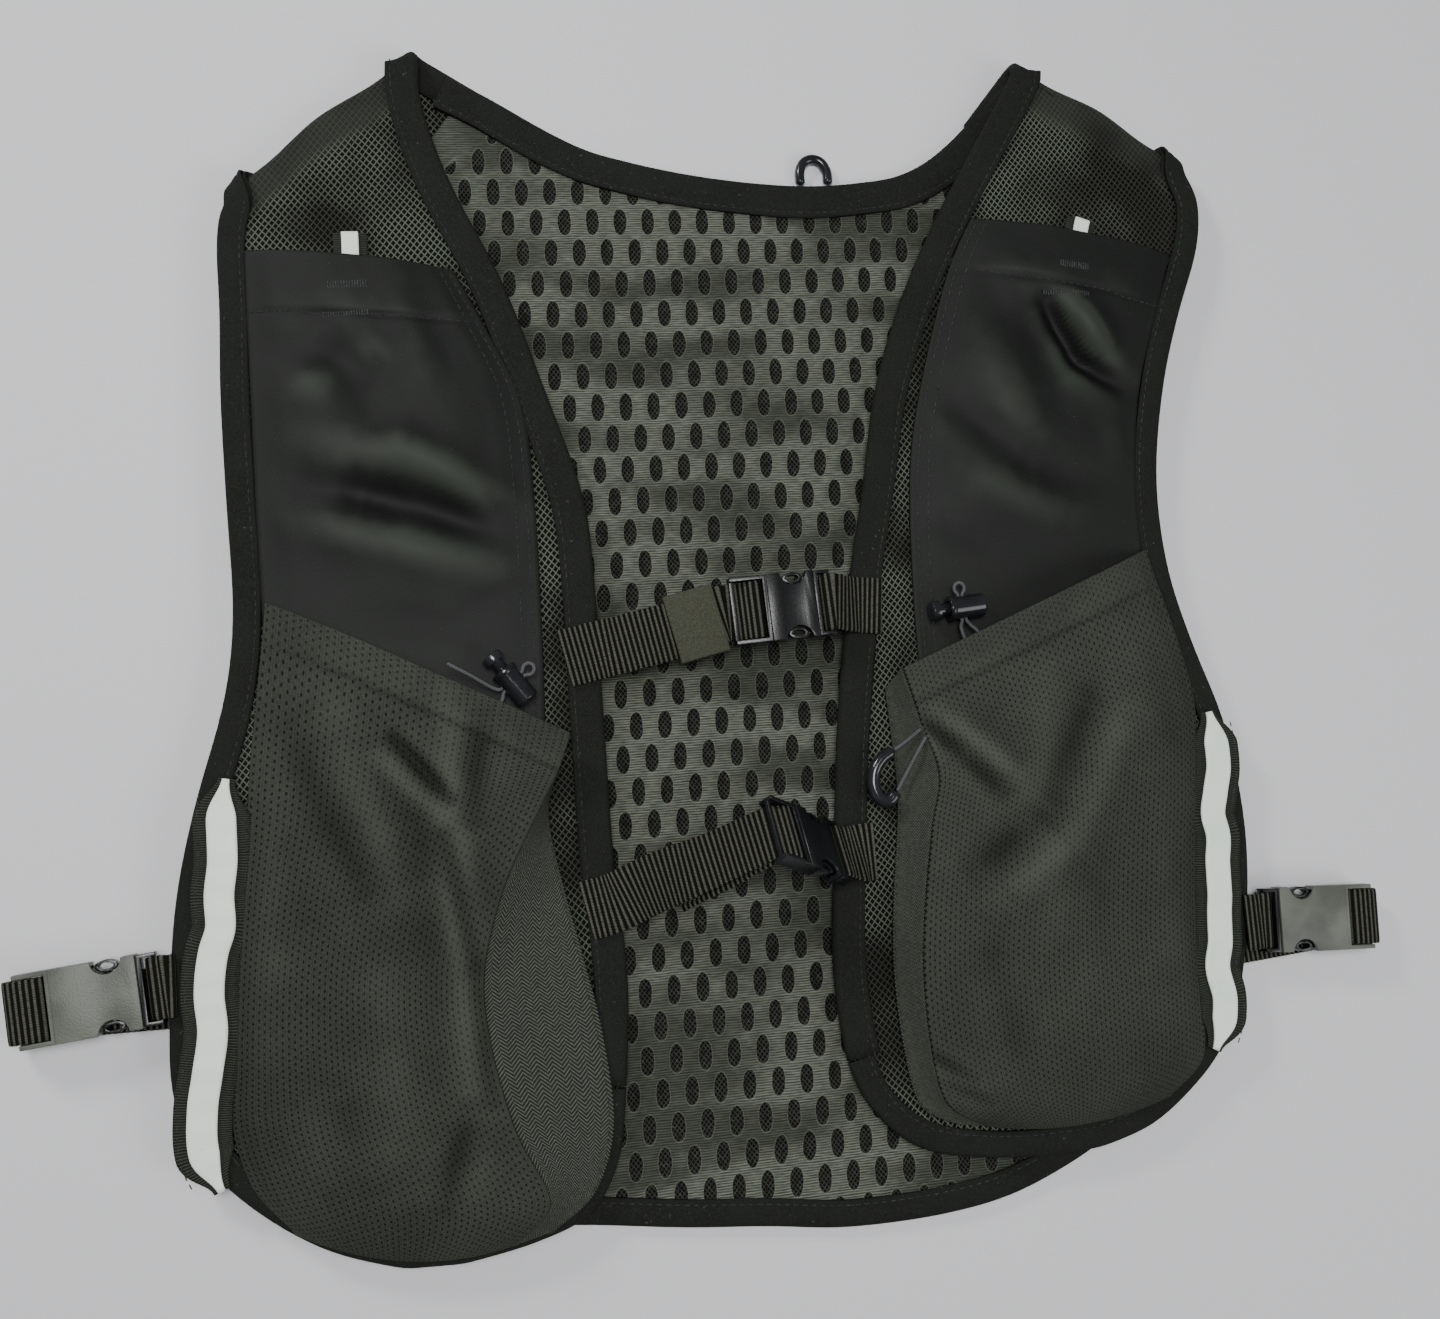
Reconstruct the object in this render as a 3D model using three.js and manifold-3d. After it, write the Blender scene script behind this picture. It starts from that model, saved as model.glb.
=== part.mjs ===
// A running hydration vest, lying on its back: millimetres, +X to the photo's right, +Y to the neck, +Z up.
import * as THREE from "three";
import { mergeVertices } from "three/addons/utils/BufferGeometryUtils.js";
import Module from "manifold-3d";

const wasm = await Module();
wasm.setup();

// Driving dimensions. Tables further down give places as percent of these two.
const halfWidth = 180;
const vestHeight = 400;

// Cloth
const clothThickness = 1.2;
const clothGap = 0.3;
const spacerThickness = 3;
const bindingWall = 1;
const bindingWidth = 9;
const frontBindingWidth = 11;
const neckBindingWidth = 12;
const seamInset = 2.4;
const floorGap = 0.05;
const foldRadius = 3.2;
const shoulderReturn = 24;
const foldBulge = 2.2;
const bulgeStart = 0.17;
const hemDrop = 1;
const drapeHeight = 0.6;
const seamSplit = 0.03;
const spacerRampWidth = 8;

// Pockets
const upperPocketDepth = 6.5;
const bottlePocketDepth = 13;
const tabWidth = 11;
const tabLength = 11;
const tabStripeWidth = 5.5;

// Trim and webbing
const webbingWidth = 19;
const webbingThickness = 1.2;
const tapeWidth = 17.4;
const tapeThickness = 1;
const reflectiveWidth = 9;
const keeperLength = 17;

// Buckles
const buckleThickness = 6;
const buckleWall = 1.3;
const buckleSide = 1.4;
const barSize = 1.6;
const sidePlate = 25;
const chestPlate = 16;
const endFrame = 10.4;
const ladderFrame = 12.4;
const insertFrame = 5.8;
const waistRadius = 4.6;
const eyeLength = 6.8;
const eyeWidth = 3.8;

// Cord locks, cords and hooks
const lockRadius = 4;
const lockRim = 4.4;
const lockLength = 12.8;
const lockBore = 2.6;
const lockBottom = 1.6;
const plungerRadius = 2.2;
const plungerHeadRadius = 3.5;
const plungerHeadLength = 3;
const plungerTravel = 3;
const cordDiameter = 1.2;
const cordPitch = 1.6;
const cordHoleAt = 5;
const hookWire = 4.4;
const neckHookWire = 3.4;

// Heights that follow from the cloth
const bindingHalf = bindingWall + clothGap + clothThickness / 2;
const backEdgeMiddle = floorGap + bindingHalf;
const shoulderTop = backEdgeMiddle + 2 * foldRadius;
const overBinding = bindingHalf + clothGap + clothThickness / 2;
const overPanel = clothThickness + clothGap;

const vest = new THREE.Group();
const finishes = {
  binding: ["#2b2c2d", 0.85, 0],
  net: ["#23241f", 0.9, 0],
  spacer: ["#55564c", 0.9, 0],
  smoothCloth: ["#232424", 0.7, 0],
  knit: ["#3b3d38", 0.85, 0],
  webbing: ["#2e2e2a", 0.85, 0],
  reflective: ["#d3e6cf", 0.4, 0],
  grosgrain: ["#3a3935", 0.9, 0],
  plastic: ["#1b1c1d", 0.5, 0],
  gloss: ["#222426", 0.25, 0],
  elastic: ["#4a4b4c", 0.8, 0],
};

// A table is rows under named columns.
function table(columns, rows) {
  const names = columns.split(" ");
  return rows.map((row) => Object.fromEntries(names.map((name, k) => [name, row[k]])));
}

function clamp(value, low, high) {
  return Math.min(high, Math.max(low, value));
}

function smooth(value) {
  const share = clamp(value, 0, 1);
  return share * share * (3 - 2 * share);
}

// Reads one column at a fractional row number, with a smooth curve through the rows.
function column(rows, name, row) {
  const last = rows.length - 1;
  const k = clamp(Math.floor(row), 0, last - 1);
  const t = row - k;
  const [a, b, c, d] = [k - 1, k, k + 1, k + 2].map((i) => rows[clamp(i, 0, last)][name]);
  return b + 0.5 * t * (c - a + t * (2 * a - 5 * b + 4 * c - d + t * (3 * (b - c) + d - a)));
}

// Reads a column against another one that rises, such as a height against a share.
function profileAt(rows, key, name, share) {
  const last = rows.length - 1;
  let k = 0;
  while (k < last - 1 && rows[k + 1][key] < share) k += 1;
  const span = rows[k + 1][key] - rows[k][key];
  return column(rows, name, k + clamp((share - rows[k][key]) / span, 0, 1));
}

function place(percentX, percentY) {
  return new THREE.Vector2((percentX * halfWidth) / 100, (percentY * vestHeight) / 100);
}

function edgePoint(rows, side, row) {
  return place(column(rows, side + "X", row), column(rows, side + "Y", row));
}

// Turns a triangle list into one closed solid whose faces point out.
function closed(positions, index) {
  let geometry = new THREE.BufferGeometry();
  geometry.setAttribute("position", new THREE.Float32BufferAttribute(positions, 3));
  geometry.setIndex(index);
  geometry = mergeVertices(geometry, 1e-4);
  const p = geometry.getAttribute("position");
  const order = Array.from(geometry.getIndex().array);
  let volume = 0;
  const [a, b, c] = [new THREE.Vector3(), new THREE.Vector3(), new THREE.Vector3()];
  for (let k = 0; k < order.length; k += 3) {
    a.fromBufferAttribute(p, order[k]);
    b.fromBufferAttribute(p, order[k + 1]);
    c.fromBufferAttribute(p, order[k + 2]);
    volume += a.dot(b.cross(c));
  }
  if (volume < 0) order.reverse();
  geometry.setIndex(order);
  return geometry;
}

function add(name, finish, geometry) {
  const [color, roughness, metalness] = finishes[finish];
  const mesh = new THREE.Mesh(geometry, new THREE.MeshStandardMaterial({ color, roughness, metalness }));
  mesh.name = name;
  mesh.geometry.deleteAttribute("normal");
  mesh.geometry.deleteAttribute("uv");
  vest.add(mesh);
  return mesh;
}

// A cloth wall about the surface at(v, u), over chosen stations of v and u.
function sheet(rowStations, columnStations, at, thickness = clothThickness) {
  const step = 1e-3;
  const sides = [[], []];
  for (const v of rowStations) {
    for (const u of columnStations) {
      const middle = at(v, u);
      const alongV = at(v + step, u).sub(at(v - step, u));
      const alongU = at(v, u + step).sub(at(v, u - step));
      const normal = alongU.cross(alongV).normalize();
      if (normal.lengthSq() < 0.5) normal.set(0, 0, 1);
      const half = (typeof thickness === "function" ? thickness(v, u) : thickness) / 2;
      sides[0].push(middle.clone().addScaledVector(normal, -half));
      sides[1].push(middle.clone().addScaledVector(normal, half));
    }
  }
  const columns = columnStations.length;
  const rows = rowStations.length;
  const count = rows * columns;
  const positions = sides.flat().flatMap((point) => point.toArray());
  const index = [];
  const quad = (a, b, c, d) => index.push(a, b, c, a, c, d);
  for (let r = 0; r < rows - 1; r += 1) {
    for (let k = 0; k < columns - 1; k += 1) {
      const a = r * columns + k;
      quad(a, a + columns, a + columns + 1, a + 1);
      quad(count + a, count + a + 1, count + a + columns + 1, count + a + columns);
    }
  }
  const rim = [];
  for (let k = 0; k < columns - 1; k += 1) rim.push(k);
  for (let r = 0; r < rows - 1; r += 1) rim.push(r * columns + columns - 1);
  for (let k = columns - 1; k > 0; k -= 1) rim.push((rows - 1) * columns + k);
  for (let r = rows - 1; r > 0; r -= 1) rim.push(r * columns);
  rim.forEach((a, k) => {
    const b = rim[(k + 1) % rim.length];
    quad(a, b, count + b, count + a);
  });
  return closed(positions, index);
}

// A section carried along a path; each stop has a point, and the section's two directions there.
function sweep(stops, section, isLoop = false) {
  const size = section.length;
  const positions = stops.flatMap((stop) => section.flatMap(([across, up]) => stop.point.clone()
    .addScaledVector(stop.across, across).addScaledVector(stop.up, up).toArray()));
  const index = [];
  const spans = isLoop ? stops.length : stops.length - 1;
  for (let k = 0; k < spans; k += 1) {
    const here = k * size;
    const next = ((k + 1) % stops.length) * size;
    for (let i = 0; i < size; i += 1) {
      const j = (i + 1) % size;
      index.push(here + i, here + j, next + j, here + i, next + j, next + i);
    }
  }
  if (!isLoop) {
    const cap = THREE.ShapeUtils.triangulateShape(section.map((pair) => new THREE.Vector2(...pair)), []);
    const end = (stops.length - 1) * size;
    for (const [a, b, c] of cap) index.push(c, b, a, end + a, end + b, end + c);
    const turned = THREE.ShapeUtils.area(section.map((pair) => new THREE.Vector2(...pair))) < 0;
    if (turned) index.reverse();
  }
  return closed(positions, index);
}

// Stops along a list of points, with the section kept square to the path.
function stopsAlong(points, across, isLoop = false) {
  const last = points.length - 1;
  return points.map((point, k) => {
    const before = points[k > 0 ? k - 1 : (isLoop ? last : 0)];
    const after = points[k < last ? k + 1 : (isLoop ? 0 : last)];
    const along = after.clone().sub(before).normalize();
    const hint = typeof across === "function" ? across(k) : across;
    const up = hint.clone().cross(along).normalize();
    return { point, across: along.clone().cross(up).normalize(), up };
  });
}

function rectangle(width, thickness) {
  const [w, t] = [width / 2, thickness / 2];
  return [[-w, -t], [w, -t], [w, t], [-w, t]];
}

function round(diameter, sides) {
  return Array.from({ length: sides }, (_, k) => {
    const angle = (2 * Math.PI * k) / sides;
    return [(diameter / 2) * Math.cos(angle), (diameter / 2) * Math.sin(angle)];
  });
}

// A binding folded over a cloth edge: open towards the cloth, on the side of positive across.
function bindingSection(width) {
  const [half, wall] = [bindingHalf, bindingWall];
  return [[0, -half], [width, -half], [width, wall - half], [wall, wall - half],
    [wall, half - wall], [width, half - wall], [width, half], [0, half]];
}

// Front panels. Outer is the armhole and side edge, inner the edge along the front opening;
// the last row is where the shoulder folds to the back.
const frontColumns = "outerX outerY innerX innerY";
const fronts = {
  left: {
    turn: 1,
    outerDrift: 0.7,
    innerDrift: 0.35,
    rows: table(frontColumns, [
      [-65.6, -49.2, -55.6, -49.4],
      [-77.8, -47.2, -43.3, -48.5],
      [-88.9, -43.8, -33.3, -46.8],
      [-97.8, -39.5, -27.8, -43],
      [-102.2, -34.5, -25.6, -37.5],
      [-102.2, -28, -23.9, -28.7],
      [-100.6, -20, -25, -18.8],
      [-96.7, -12.5, -25, -10],
      [-91.1, -4.5, -25, -2],
      [-88.9, 2.5, -25, 5],
      [-89.2, 11.2, -26.1, 11.2],
      [-89.4, 20, -31.7, 20],
      [-88.9, 27, -38.3, 29.5],
      [-88.9, 32.1, -46.7, 38],
      [-88.3, 34.8, -51.1, 45],
      [-87.2, 36.1, -51.1, 48.8],
    ]),
  },
  right: {
    turn: -1,
    outerDrift: 0.5,
    innerDrift: 0.15,
    rows: table(frontColumns, [
      [62.2, -46.7, 50, -46.8],
      [73.3, -45.3, 38.9, -46.3],
      [83.3, -42.2, 27.8, -45],
      [89.4, -39.2, 20, -42],
      [93.9, -35, 15.3, -37.5],
      [97.2, -28, 13.9, -29.5],
      [98.6, -20.5, 16.1, -19.5],
      [96.7, -12, 18.3, -10.5],
      [91.7, -4.5, 21.1, -2.5],
      [88.3, 2.5, 23.9, 4],
      [88.1, 10.5, 27.8, 11.2],
      [91.7, 18.8, 31.7, 19.2],
      [96.7, 25.5, 38.9, 27.5],
      [102.2, 31.5, 48.9, 35.8],
      [103.6, 36, 64.4, 46.8],
      [101.3, 38.8, 66.1, 48.6],
    ]),
  },
};
const foldRow = fronts.left.rows.length - 1;
const bindingRow = 4;

// The middle of the front layer: level over the chest, lower at the hem, with a soft drape.
function frontMiddle(x, y) {
  const towardsHem = smooth(-y / (vestHeight / 2));
  const drape = Math.sin(x / (0.21 * halfWidth) + 1.3) * Math.sin(y / (0.12 * vestHeight) + 0.6);
  const calm = 1 - smooth(y / (0.2 * vestHeight) - 1);
  return shoulderTop - hemDrop * towardsHem + drapeHeight * calm * drape;
}

// A point given in percent across and up the vest, and in millimetres above the shoulders' cloth.
function spot([percentX, percentY, height]) {
  const flat = place(percentX, percentY);
  return new THREE.Vector3(flat.x, flat.y, shoulderTop + height);
}

function spots(rows) {
  return rows.map(spot);
}

function onFront(point, height) {
  return new THREE.Vector3(point.x, point.y, frontMiddle(point.x, point.y) + height);
}

// A point of a side edge, moved into the cloth by an inset.
function insetEdge(rows, side, row, inset) {
  const here = edgePoint(rows, side, row);
  const along = edgePoint(rows, side, Math.min(row + 0.1, rows.length - 1));
  along.sub(edgePoint(rows, side, Math.max(row - 0.1, 0))).normalize();
  const inward = new THREE.Vector2(along.y, -along.x);
  const other = edgePoint(rows, side === "outer" ? "inner" : "outer", row + 1);
  if (inward.dot(other.sub(here)) < 0) inward.negate();
  return here.addScaledVector(inward, inset);
}

// Past the last row the surface runs round the fold, and v there counts millimetres of cloth.
function frontSurface(front, inset = 0) {
  const { rows, turn } = front;
  const outerEnd = edgePoint(rows, "outer", foldRow);
  const innerEnd = edgePoint(rows, "inner", foldRow);
  const foldLine = innerEnd.clone().sub(outerEnd).normalize();
  const outward = new THREE.Vector2(-foldLine.y, foldLine.x).multiplyScalar(turn);
  return (v, u) => {
    const row = clamp(v, 0, foldRow);
    const flat = insetEdge(rows, "outer", row, inset).lerp(insetEdge(rows, "inner", row, inset), u);
    const straight = inset / outerEnd.distanceTo(innerEnd);
    const onRow = edgePoint(rows, "outer", row)
      .lerp(edgePoint(rows, "inner", row), straight + u * (1 - 2 * straight));
    flat.lerp(onRow, clamp(row - (foldRow - 1), 0, 1));
    const clear = smooth((u - bulgeStart) / (0.5 - bulgeStart)) * smooth((1 - bulgeStart - u) / (0.5 - bulgeStart));
    flat.addScaledVector(outward, foldBulge * clear * smooth(row - (foldRow - 2)));
    if (v <= foldRow) return onFront(flat, 0);
    const cloth = v - foldRow;
    const angle = Math.min(cloth / foldRadius, Math.PI);
    const back = Math.max(cloth - Math.PI * foldRadius, 0);
    flat.addScaledVector(outward, foldRadius * Math.sin(angle) - back);
    flat.addScaledVector(foldLine, cloth * THREE.MathUtils.lerp(front.outerDrift, front.innerDrift, u));
    return new THREE.Vector3(flat.x, flat.y, shoulderTop - foldRadius + foldRadius * Math.cos(angle));
  };
}

const flatStations = Array.from({ length: foldRow + 1 }, (_, k) => k);
const foldStations = [0.25, 0.5, 0.75, 1].map((share) => foldRow + share * Math.PI * foldRadius);
const returnEnd = foldRow + Math.PI * foldRadius + shoulderReturn;
const frontStations = [...flatStations, ...foldStations, returnEnd];
const frontColumnShares = [0, 0.1, 0.3, 0.5, 0.7, 0.9, 1];

function frontPanel(side) {
  const surface = frontSurface(fronts[side], seamInset);
  add(`front_panel_${side}`, "net", sheet(frontStations, frontColumnShares, surface));
}

// A binding along the panel's edge; u is 0 on the outer edge and 1 on the inner one.
function frontBinding(name, front, route, width) {
  const surface = frontSurface(front);
  const points = route.map(([v, u]) => surface(v, u));
  const last = points.length - 1;
  const stops = route.map(([v, u], k) => {
    const along = points[Math.min(k + 1, last)].clone().sub(points[Math.max(k - 1, 0)]);
    if (k === 0 || k === last) {
      const forward = k === 0 ? Math.sign(route[1][0] - v) : Math.sign(v - route[last - 1][0]);
      along.copy(surface(v + 0.1, u)).sub(surface(v - 0.1, u)).multiplyScalar(forward);
    }
    along.normalize();
    const alongV = surface(v + 0.02, 0.5).sub(surface(v - 0.02, 0.5));
    const alongU = surface(v, 0.6).sub(surface(v, 0.4));
    const normal = alongU.clone().cross(alongV).normalize().multiplyScalar(front.turn);
    const inside = v < 1 ? surface(v + 1, 0.5).sub(points[k]) : alongU.multiplyScalar(u < 0.5 ? 1 : -1);
    const across = v < foldRow ? normal.clone().cross(along).normalize() : inside.clone().normalize();
    if (across.dot(inside) < 0) across.negate();
    return { point: points[k], across, up: normal };
  });
  add(name, "binding", sweep(stops, bindingSection(width)));
}

function frontBindings(side) {
  const front = fronts[side];
  const outer = [...frontStations].reverse().map((v) => [v, 0]);
  const hem = [[0, 0.5], ...flatStations.slice(0, bindingRow + 1).map((v) => [v, 1])];
  frontBinding(`outer_binding_${side}`, front, [...outer, ...hem], bindingWidth);
  const inner = frontStations.filter((v) => v > bindingRow).map((v) => [v, 1]);
  frontBinding(`front_binding_${side}`, front, [[bindingRow + seamSplit, 1], ...inner], frontBindingWidth);
}

for (const side of ["left", "right"]) {
  frontPanel(side);
  frontBindings(side);
}

// Back panel: its side edges, hem and neckline.
const backSides = table("share leftX rightX", [
  [0, -92.2, 88.9],
  [0.1, -94.4, 91.1],
  [0.25, -90.6, 88.9],
  [0.4, -81.1, 81.7],
  [0.55, -74.4, 78.3],
  [0.7, -71.1, 79.4],
  [0.85, -68.9, 82.8],
  [1, -66.7, 85.3],
]);
const backHem = table("share y", [
  [0, -31.2], [0.03, -37], [0.08, -42], [0.16, -45.5], [0.25, -47.2], [0.34, -48.2], [0.42, -49.2], [0.5, -49.9],
  [0.58, -50.8], [0.68, -50.8], [0.76, -49.9], [0.84, -47.5], [0.9, -44.5], [0.96, -39.5], [1, -32.5],
]);
const backTop = table("share y", [
  [0, 35.9], [0.1, 41], [0.2, 46.1], [0.24, 43.9], [0.3, 41.6], [0.4, 39.8], [0.5, 38.7], [0.6, 38.3],
  [0.7, 39], [0.75, 40.4], [0.8, 42.9], [0.817, 43.9], [0.9, 40.2], [1, 35.9],
]);
const neckStart = 0.2;
const neckEnd = 0.817;
const seamShare = 0.985;
const neckGap = 0.008;

function backSurface(v, u) {
  const left = profileAt(backSides, "share", "leftX", v);
  const right = profileAt(backSides, "share", "rightX", v);
  const hem = profileAt(backHem, "share", "y", u);
  const top = profileAt(backTop, "share", "y", u);
  const point = place(THREE.MathUtils.lerp(left, right, u), THREE.MathUtils.lerp(hem, top, v));
  return new THREE.Vector3(point.x, point.y, backEdgeMiddle);
}

// The back's outline, for the distance of a point from its nearest edge.
const backOutline = [
  ...backHem.map((row) => [0, row.share]),
  ...backSides.slice(1).map((row) => [row.share, 1]),
  ...[...backTop].reverse().slice(1).map((row) => [1, row.share]),
  ...[...backSides].reverse().slice(1, -1).map((row) => [row.share, 0]),
].map(([v, u]) => backSurface(v, u));

function distanceToEdge(point) {
  const segment = new THREE.Line3();
  const nearest = new THREE.Vector3();
  const flat = point.clone().setZ(backEdgeMiddle);
  return Math.min(...backOutline.map((corner, k) => {
    segment.set(corner, backOutline[(k + 1) % backOutline.length]);
    return segment.closestPointToPoint(flat, true, nearest).distanceTo(flat);
  }));
}

// The spacer fabric is full between the bindings and pressed thin inside them.
function backPanel() {
  const width = backSurface(0.7, 0).distanceTo(backSurface(0.7, 1));
  const height = backSurface(0, 0.5).distanceTo(backSurface(1, 0.5));
  const [insetU, insetV] = [(1.4 * seamInset) / width, (1.5 * seamInset) / height];
  const inner = (share, inset) => inset + share * (1 - 2 * inset);
  const full = (v, u) => {
    const toEdge = distanceToEdge(backSurface(inner(v, insetV), inner(u, insetU)));
    return smooth((toEdge - neckBindingWidth - 8 * clothGap) / spacerRampWidth);
  };
  const thickness = (v, u) => clothThickness + (spacerThickness - clothThickness) * full(v, u);
  const at = (v, u) => {
    const point = backSurface(inner(v, insetV), inner(u, insetU));
    point.z -= (backEdgeMiddle - spacerThickness / 2) * full(v, u);
    return point;
  };
  const edgeU = neckBindingWidth / width - insetU;
  const edgeV = (1.1 * neckBindingWidth) / height - insetV;
  const [fullU, fullV] = [edgeU + spacerRampWidth / width, edgeV + spacerRampWidth / height];
  const rows = [0, edgeV, fullV, 0.16, 0.28, 0.42, 0.56, 0.7, 0.82, 1 - fullV, 1 - edgeV, 1];
  const inColumn = (share) => (share - insetU) / (1 - 2 * insetU);
  const columns = [0, edgeU, fullU, 0.13, inColumn(neckStart), 0.26, 0.35, 0.5, 0.65, 0.75,
    inColumn(neckEnd), 0.88, 1 - fullU, 1 - edgeU, 1];
  add("back_panel", "spacer", sheet(rows, columns, at, thickness));
}

function backBinding(name, route, width) {
  const points = route.map(([v, u]) => backSurface(v, u));
  const stops = stopsAlong(points, (k) => {
    const along = points[Math.min(k + 1, points.length - 1)].clone().sub(points[Math.max(k - 1, 0)]);
    return new THREE.Vector3(-along.y, along.x, 0);
  });
  const up = new THREE.Vector3(0, 0, 1);
  for (const stop of stops) stop.up = up;
  add(name, "binding", sweep(stops, bindingSection(width)));
}

backPanel();
const downLeft = [...backSides].reverse().map((row) => [Math.min(row.share, seamShare), 0]);
const alongHem = backHem.slice(1, -1).map((row) => [0, row.share]);
const upRight = backSides.map((row) => [Math.min(row.share, seamShare), 1]);
backBinding("back_binding", [...downLeft, ...alongHem, ...upRight], bindingWidth);
const neckShares = backTop.map((row) => row.share).filter((share) => share > neckStart && share < neckEnd);
const neckRoute = [neckStart + neckGap, ...neckShares, neckEnd - neckGap].map((share) => [1, share]).reverse();
backBinding("neck_binding", neckRoute, neckBindingWidth);

// Pockets lie on the front panels between an outer and an inner edge; depth is the share of full swell.
const pocketColumns = "outerX outerY innerX innerY depth";
const upperPockets = {
  left: table(pocketColumns, [
    [-76.1, -3, -42.2, -9.5, 0.15],
    [-80, 3.5, -38.9, -1.5, 0.3],
    [-83.4, 10.5, -36.1, 9.5, 0.85],
    [-83.4, 18.8, -37.8, 18.8, 1],
    [-83.4, 26, -43.3, 25.1, 0.95],
    [-83.1, 32, -48.1, 30.2, 0.8],
  ]),
  right: table(pocketColumns, [
    [76.7, -2, 40, -8, 0.15],
    [80.6, 4.2, 38.3, 0.5, 0.3],
    [82.5, 11.2, 38.1, 11.2, 0.85],
    [85.5, 18.8, 41.4, 18.8, 1],
    [91, 25.8, 48.9, 29, 0.95],
    [95, 30.9, 55, 34.4, 0.8],
  ]),
};
const upperSection = table("share height", [[0, 0], [0.12, 0.45], [0.3, 0.9], [0.5, 1], [0.7, 0.9], [0.88, 0.45], [1, 0]]);

function upperPocketSurface(rows) {
  return (v, u) => {
    const flat = edgePoint(rows, "outer", v).lerp(edgePoint(rows, "inner", v), u);
    const swell = upperPocketDepth * column(rows, "depth", v) * profileAt(upperSection, "share", "height", u);
    return onFront(flat, overPanel + swell);
  };
}

function rowStations(rows, perRow) {
  return Array.from({ length: (rows.length - 1) * perRow + 1 }, (_, k) => k / perRow);
}

for (const side of ["left", "right"]) {
  const surface = upperPocketSurface(upperPockets[side]);
  const geometry = sheet(rowStations(upperPockets[side], 2), upperSection.map((row) => row.share), surface);
  add(`upper_pocket_${side}`, "smoothCloth", geometry);
}

// Bottle pockets run from the hem to an open mouth; the inner edge is a fold, and a gusset
// closes the pocket from that fold down to its seam beside the front binding.
const bottleColumns = "outerX outerY innerX innerY depth seamX seamY";
const bottlePockets = {
  left: table(bottleColumns, [
    [-83, -45.5, -47.2, -48.3, 0, -40, -47.6],
    [-88, -41.5, -40.6, -45.2, 0.55, -32.5, -45],
    [-90.6, -37, -45.6, -39.5, 0.85, -28.5, -40],
    [-90, -32.5, -48.9, -33, 0.97, -29.4, -33],
    [-88.9, -26.2, -49.4, -27, 1, -31.9, -26.8],
    [-87.5, -20, -45, -20.5, 1, -34.7, -20.8],
    [-85.9, -13.8, -37.8, -14.5, 0.97, -36.4, -15.8],
    [-84.9, -6.2, -34.4, -11.8, 0.93, -35.6, -13.2],
    [-83.1, 3, -31.9, -9, 0.95, -33.6, -10.8],
  ]),
  right: table(bottleColumns, [
    [76.7, -43, 40, -43.6, 0, 34.4, -43.2],
    [82, -40, 32.2, -41.2, 0.55, 28, -41.4],
    [83, -35, 29.7, -36.2, 0.85, 25.8, -36.6],
    [83.5, -29.5, 29.4, -30, 0.97, 25.2, -30.2],
    [84.7, -23.8, 31.1, -24, 1, 26.4, -24.2],
    [86.7, -17, 33.3, -18.8, 1, 28, -19.4],
    [87.8, -10.5, 35.6, -14.5, 0.97, 28.8, -15.4],
    [86.5, -3.8, 33.3, -10.2, 0.93, 28.6, -11.4],
    [83.3, 3.8, 30.5, -5.5, 0.95, 28.1, -7],
  ]),
};
const bottleSection = table("share height", [[0, 0], [0.08, 0.42], [0.2, 0.8], [0.4, 1], [0.6, 0.98], [0.8, 0.9], [1, 0.72]]);
const gussetSection = table("share height", [[0, 0.72], [0.25, 0.48], [0.6, 0.18], [1, 0]]);
const gussetDrop = clothThickness + 1.5 * clothGap;

function bottleSurface(rows) {
  return (v, u) => {
    const flat = edgePoint(rows, "outer", v).lerp(edgePoint(rows, "inner", v), u);
    const swell = bottlePocketDepth * column(rows, "depth", v) * profileAt(bottleSection, "share", "height", u);
    return onFront(flat, overBinding + swell);
  };
}

function gussetSurface(rows) {
  return (v, u) => {
    const flat = edgePoint(rows, "inner", v).lerp(edgePoint(rows, "seam", v), u);
    const swell = bottlePocketDepth * column(rows, "depth", v) * profileAt(gussetSection, "share", "height", u);
    return onFront(flat, overBinding + swell - gussetDrop * (1 - u) * smooth(v));
  };
}

for (const side of ["left", "right"]) {
  const rows = bottlePockets[side];
  const pocket = sheet(rowStations(rows, 2), bottleSection.map((row) => row.share), bottleSurface(rows));
  add(`bottle_pocket_${side}`, "knit", pocket);
  const gussetStart = 0.06;
  const shares = [gussetStart, ...gussetSection.slice(1).map((row) => row.share)];
  add(`pocket_gusset_${side}`, "knit", sheet(rowStations(rows, 2), shares, gussetSurface(rows)));
}

// Reflective tape down each outer edge, over its ribbed backing.
const tapeRoutes = {
  left: table("x y", [
    [-91, -10.6], [-92, -13], [-92.2, -17], [-93, -19.5], [-93, -22], [-94.4, -23.9], [-95.3, -26.8],
    [-95, -29.8], [-96, -32.5], [-97.2, -35.5], [-97.2, -38.8], [-94.6, -41.6],
  ]),
  right: table("x y", [
    [92.5, -10.8], [93.3, -13.2], [93.3, -15.5], [91.9, -18], [91, -19.8], [91.6, -21.5], [90.9, -24],
    [90.6, -26.5], [90, -28.8], [89.7, -30.5], [88.6, -32.8], [89.4, -35.2], [88.7, -37.5], [86.4, -39.6],
  ]),
};

const tapeTaper = [0.3, 0.7];

function tape(name, finish, route, width, height) {
  const points = route.map((row) => onFront(place(row.x, row.y), height));
  const stops = stopsAlong(points, (k) => {
    const along = points[Math.min(k + 1, points.length - 1)].clone().sub(points[Math.max(k - 1, 0)]);
    return new THREE.Vector3(-along.y, along.x, 0);
  });
  stops.forEach((stop, k) => stop.across.multiplyScalar(tapeTaper[Math.min(k, stops.length - 1 - k)] ?? 1));
  add(name, finish, sweep(stops, rectangle(width, tapeThickness)));
}

const tapeHeight = bindingHalf + clothGap + tapeThickness / 2;
for (const side of ["left", "right"]) {
  tape(`tape_backing_${side}`, "grosgrain", tapeRoutes[side], tapeWidth, tapeHeight);
  tape(`reflective_tape_${side}`, "reflective", tapeRoutes[side], reflectiveWidth, tapeHeight + tapeThickness + clothGap);
}

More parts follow.
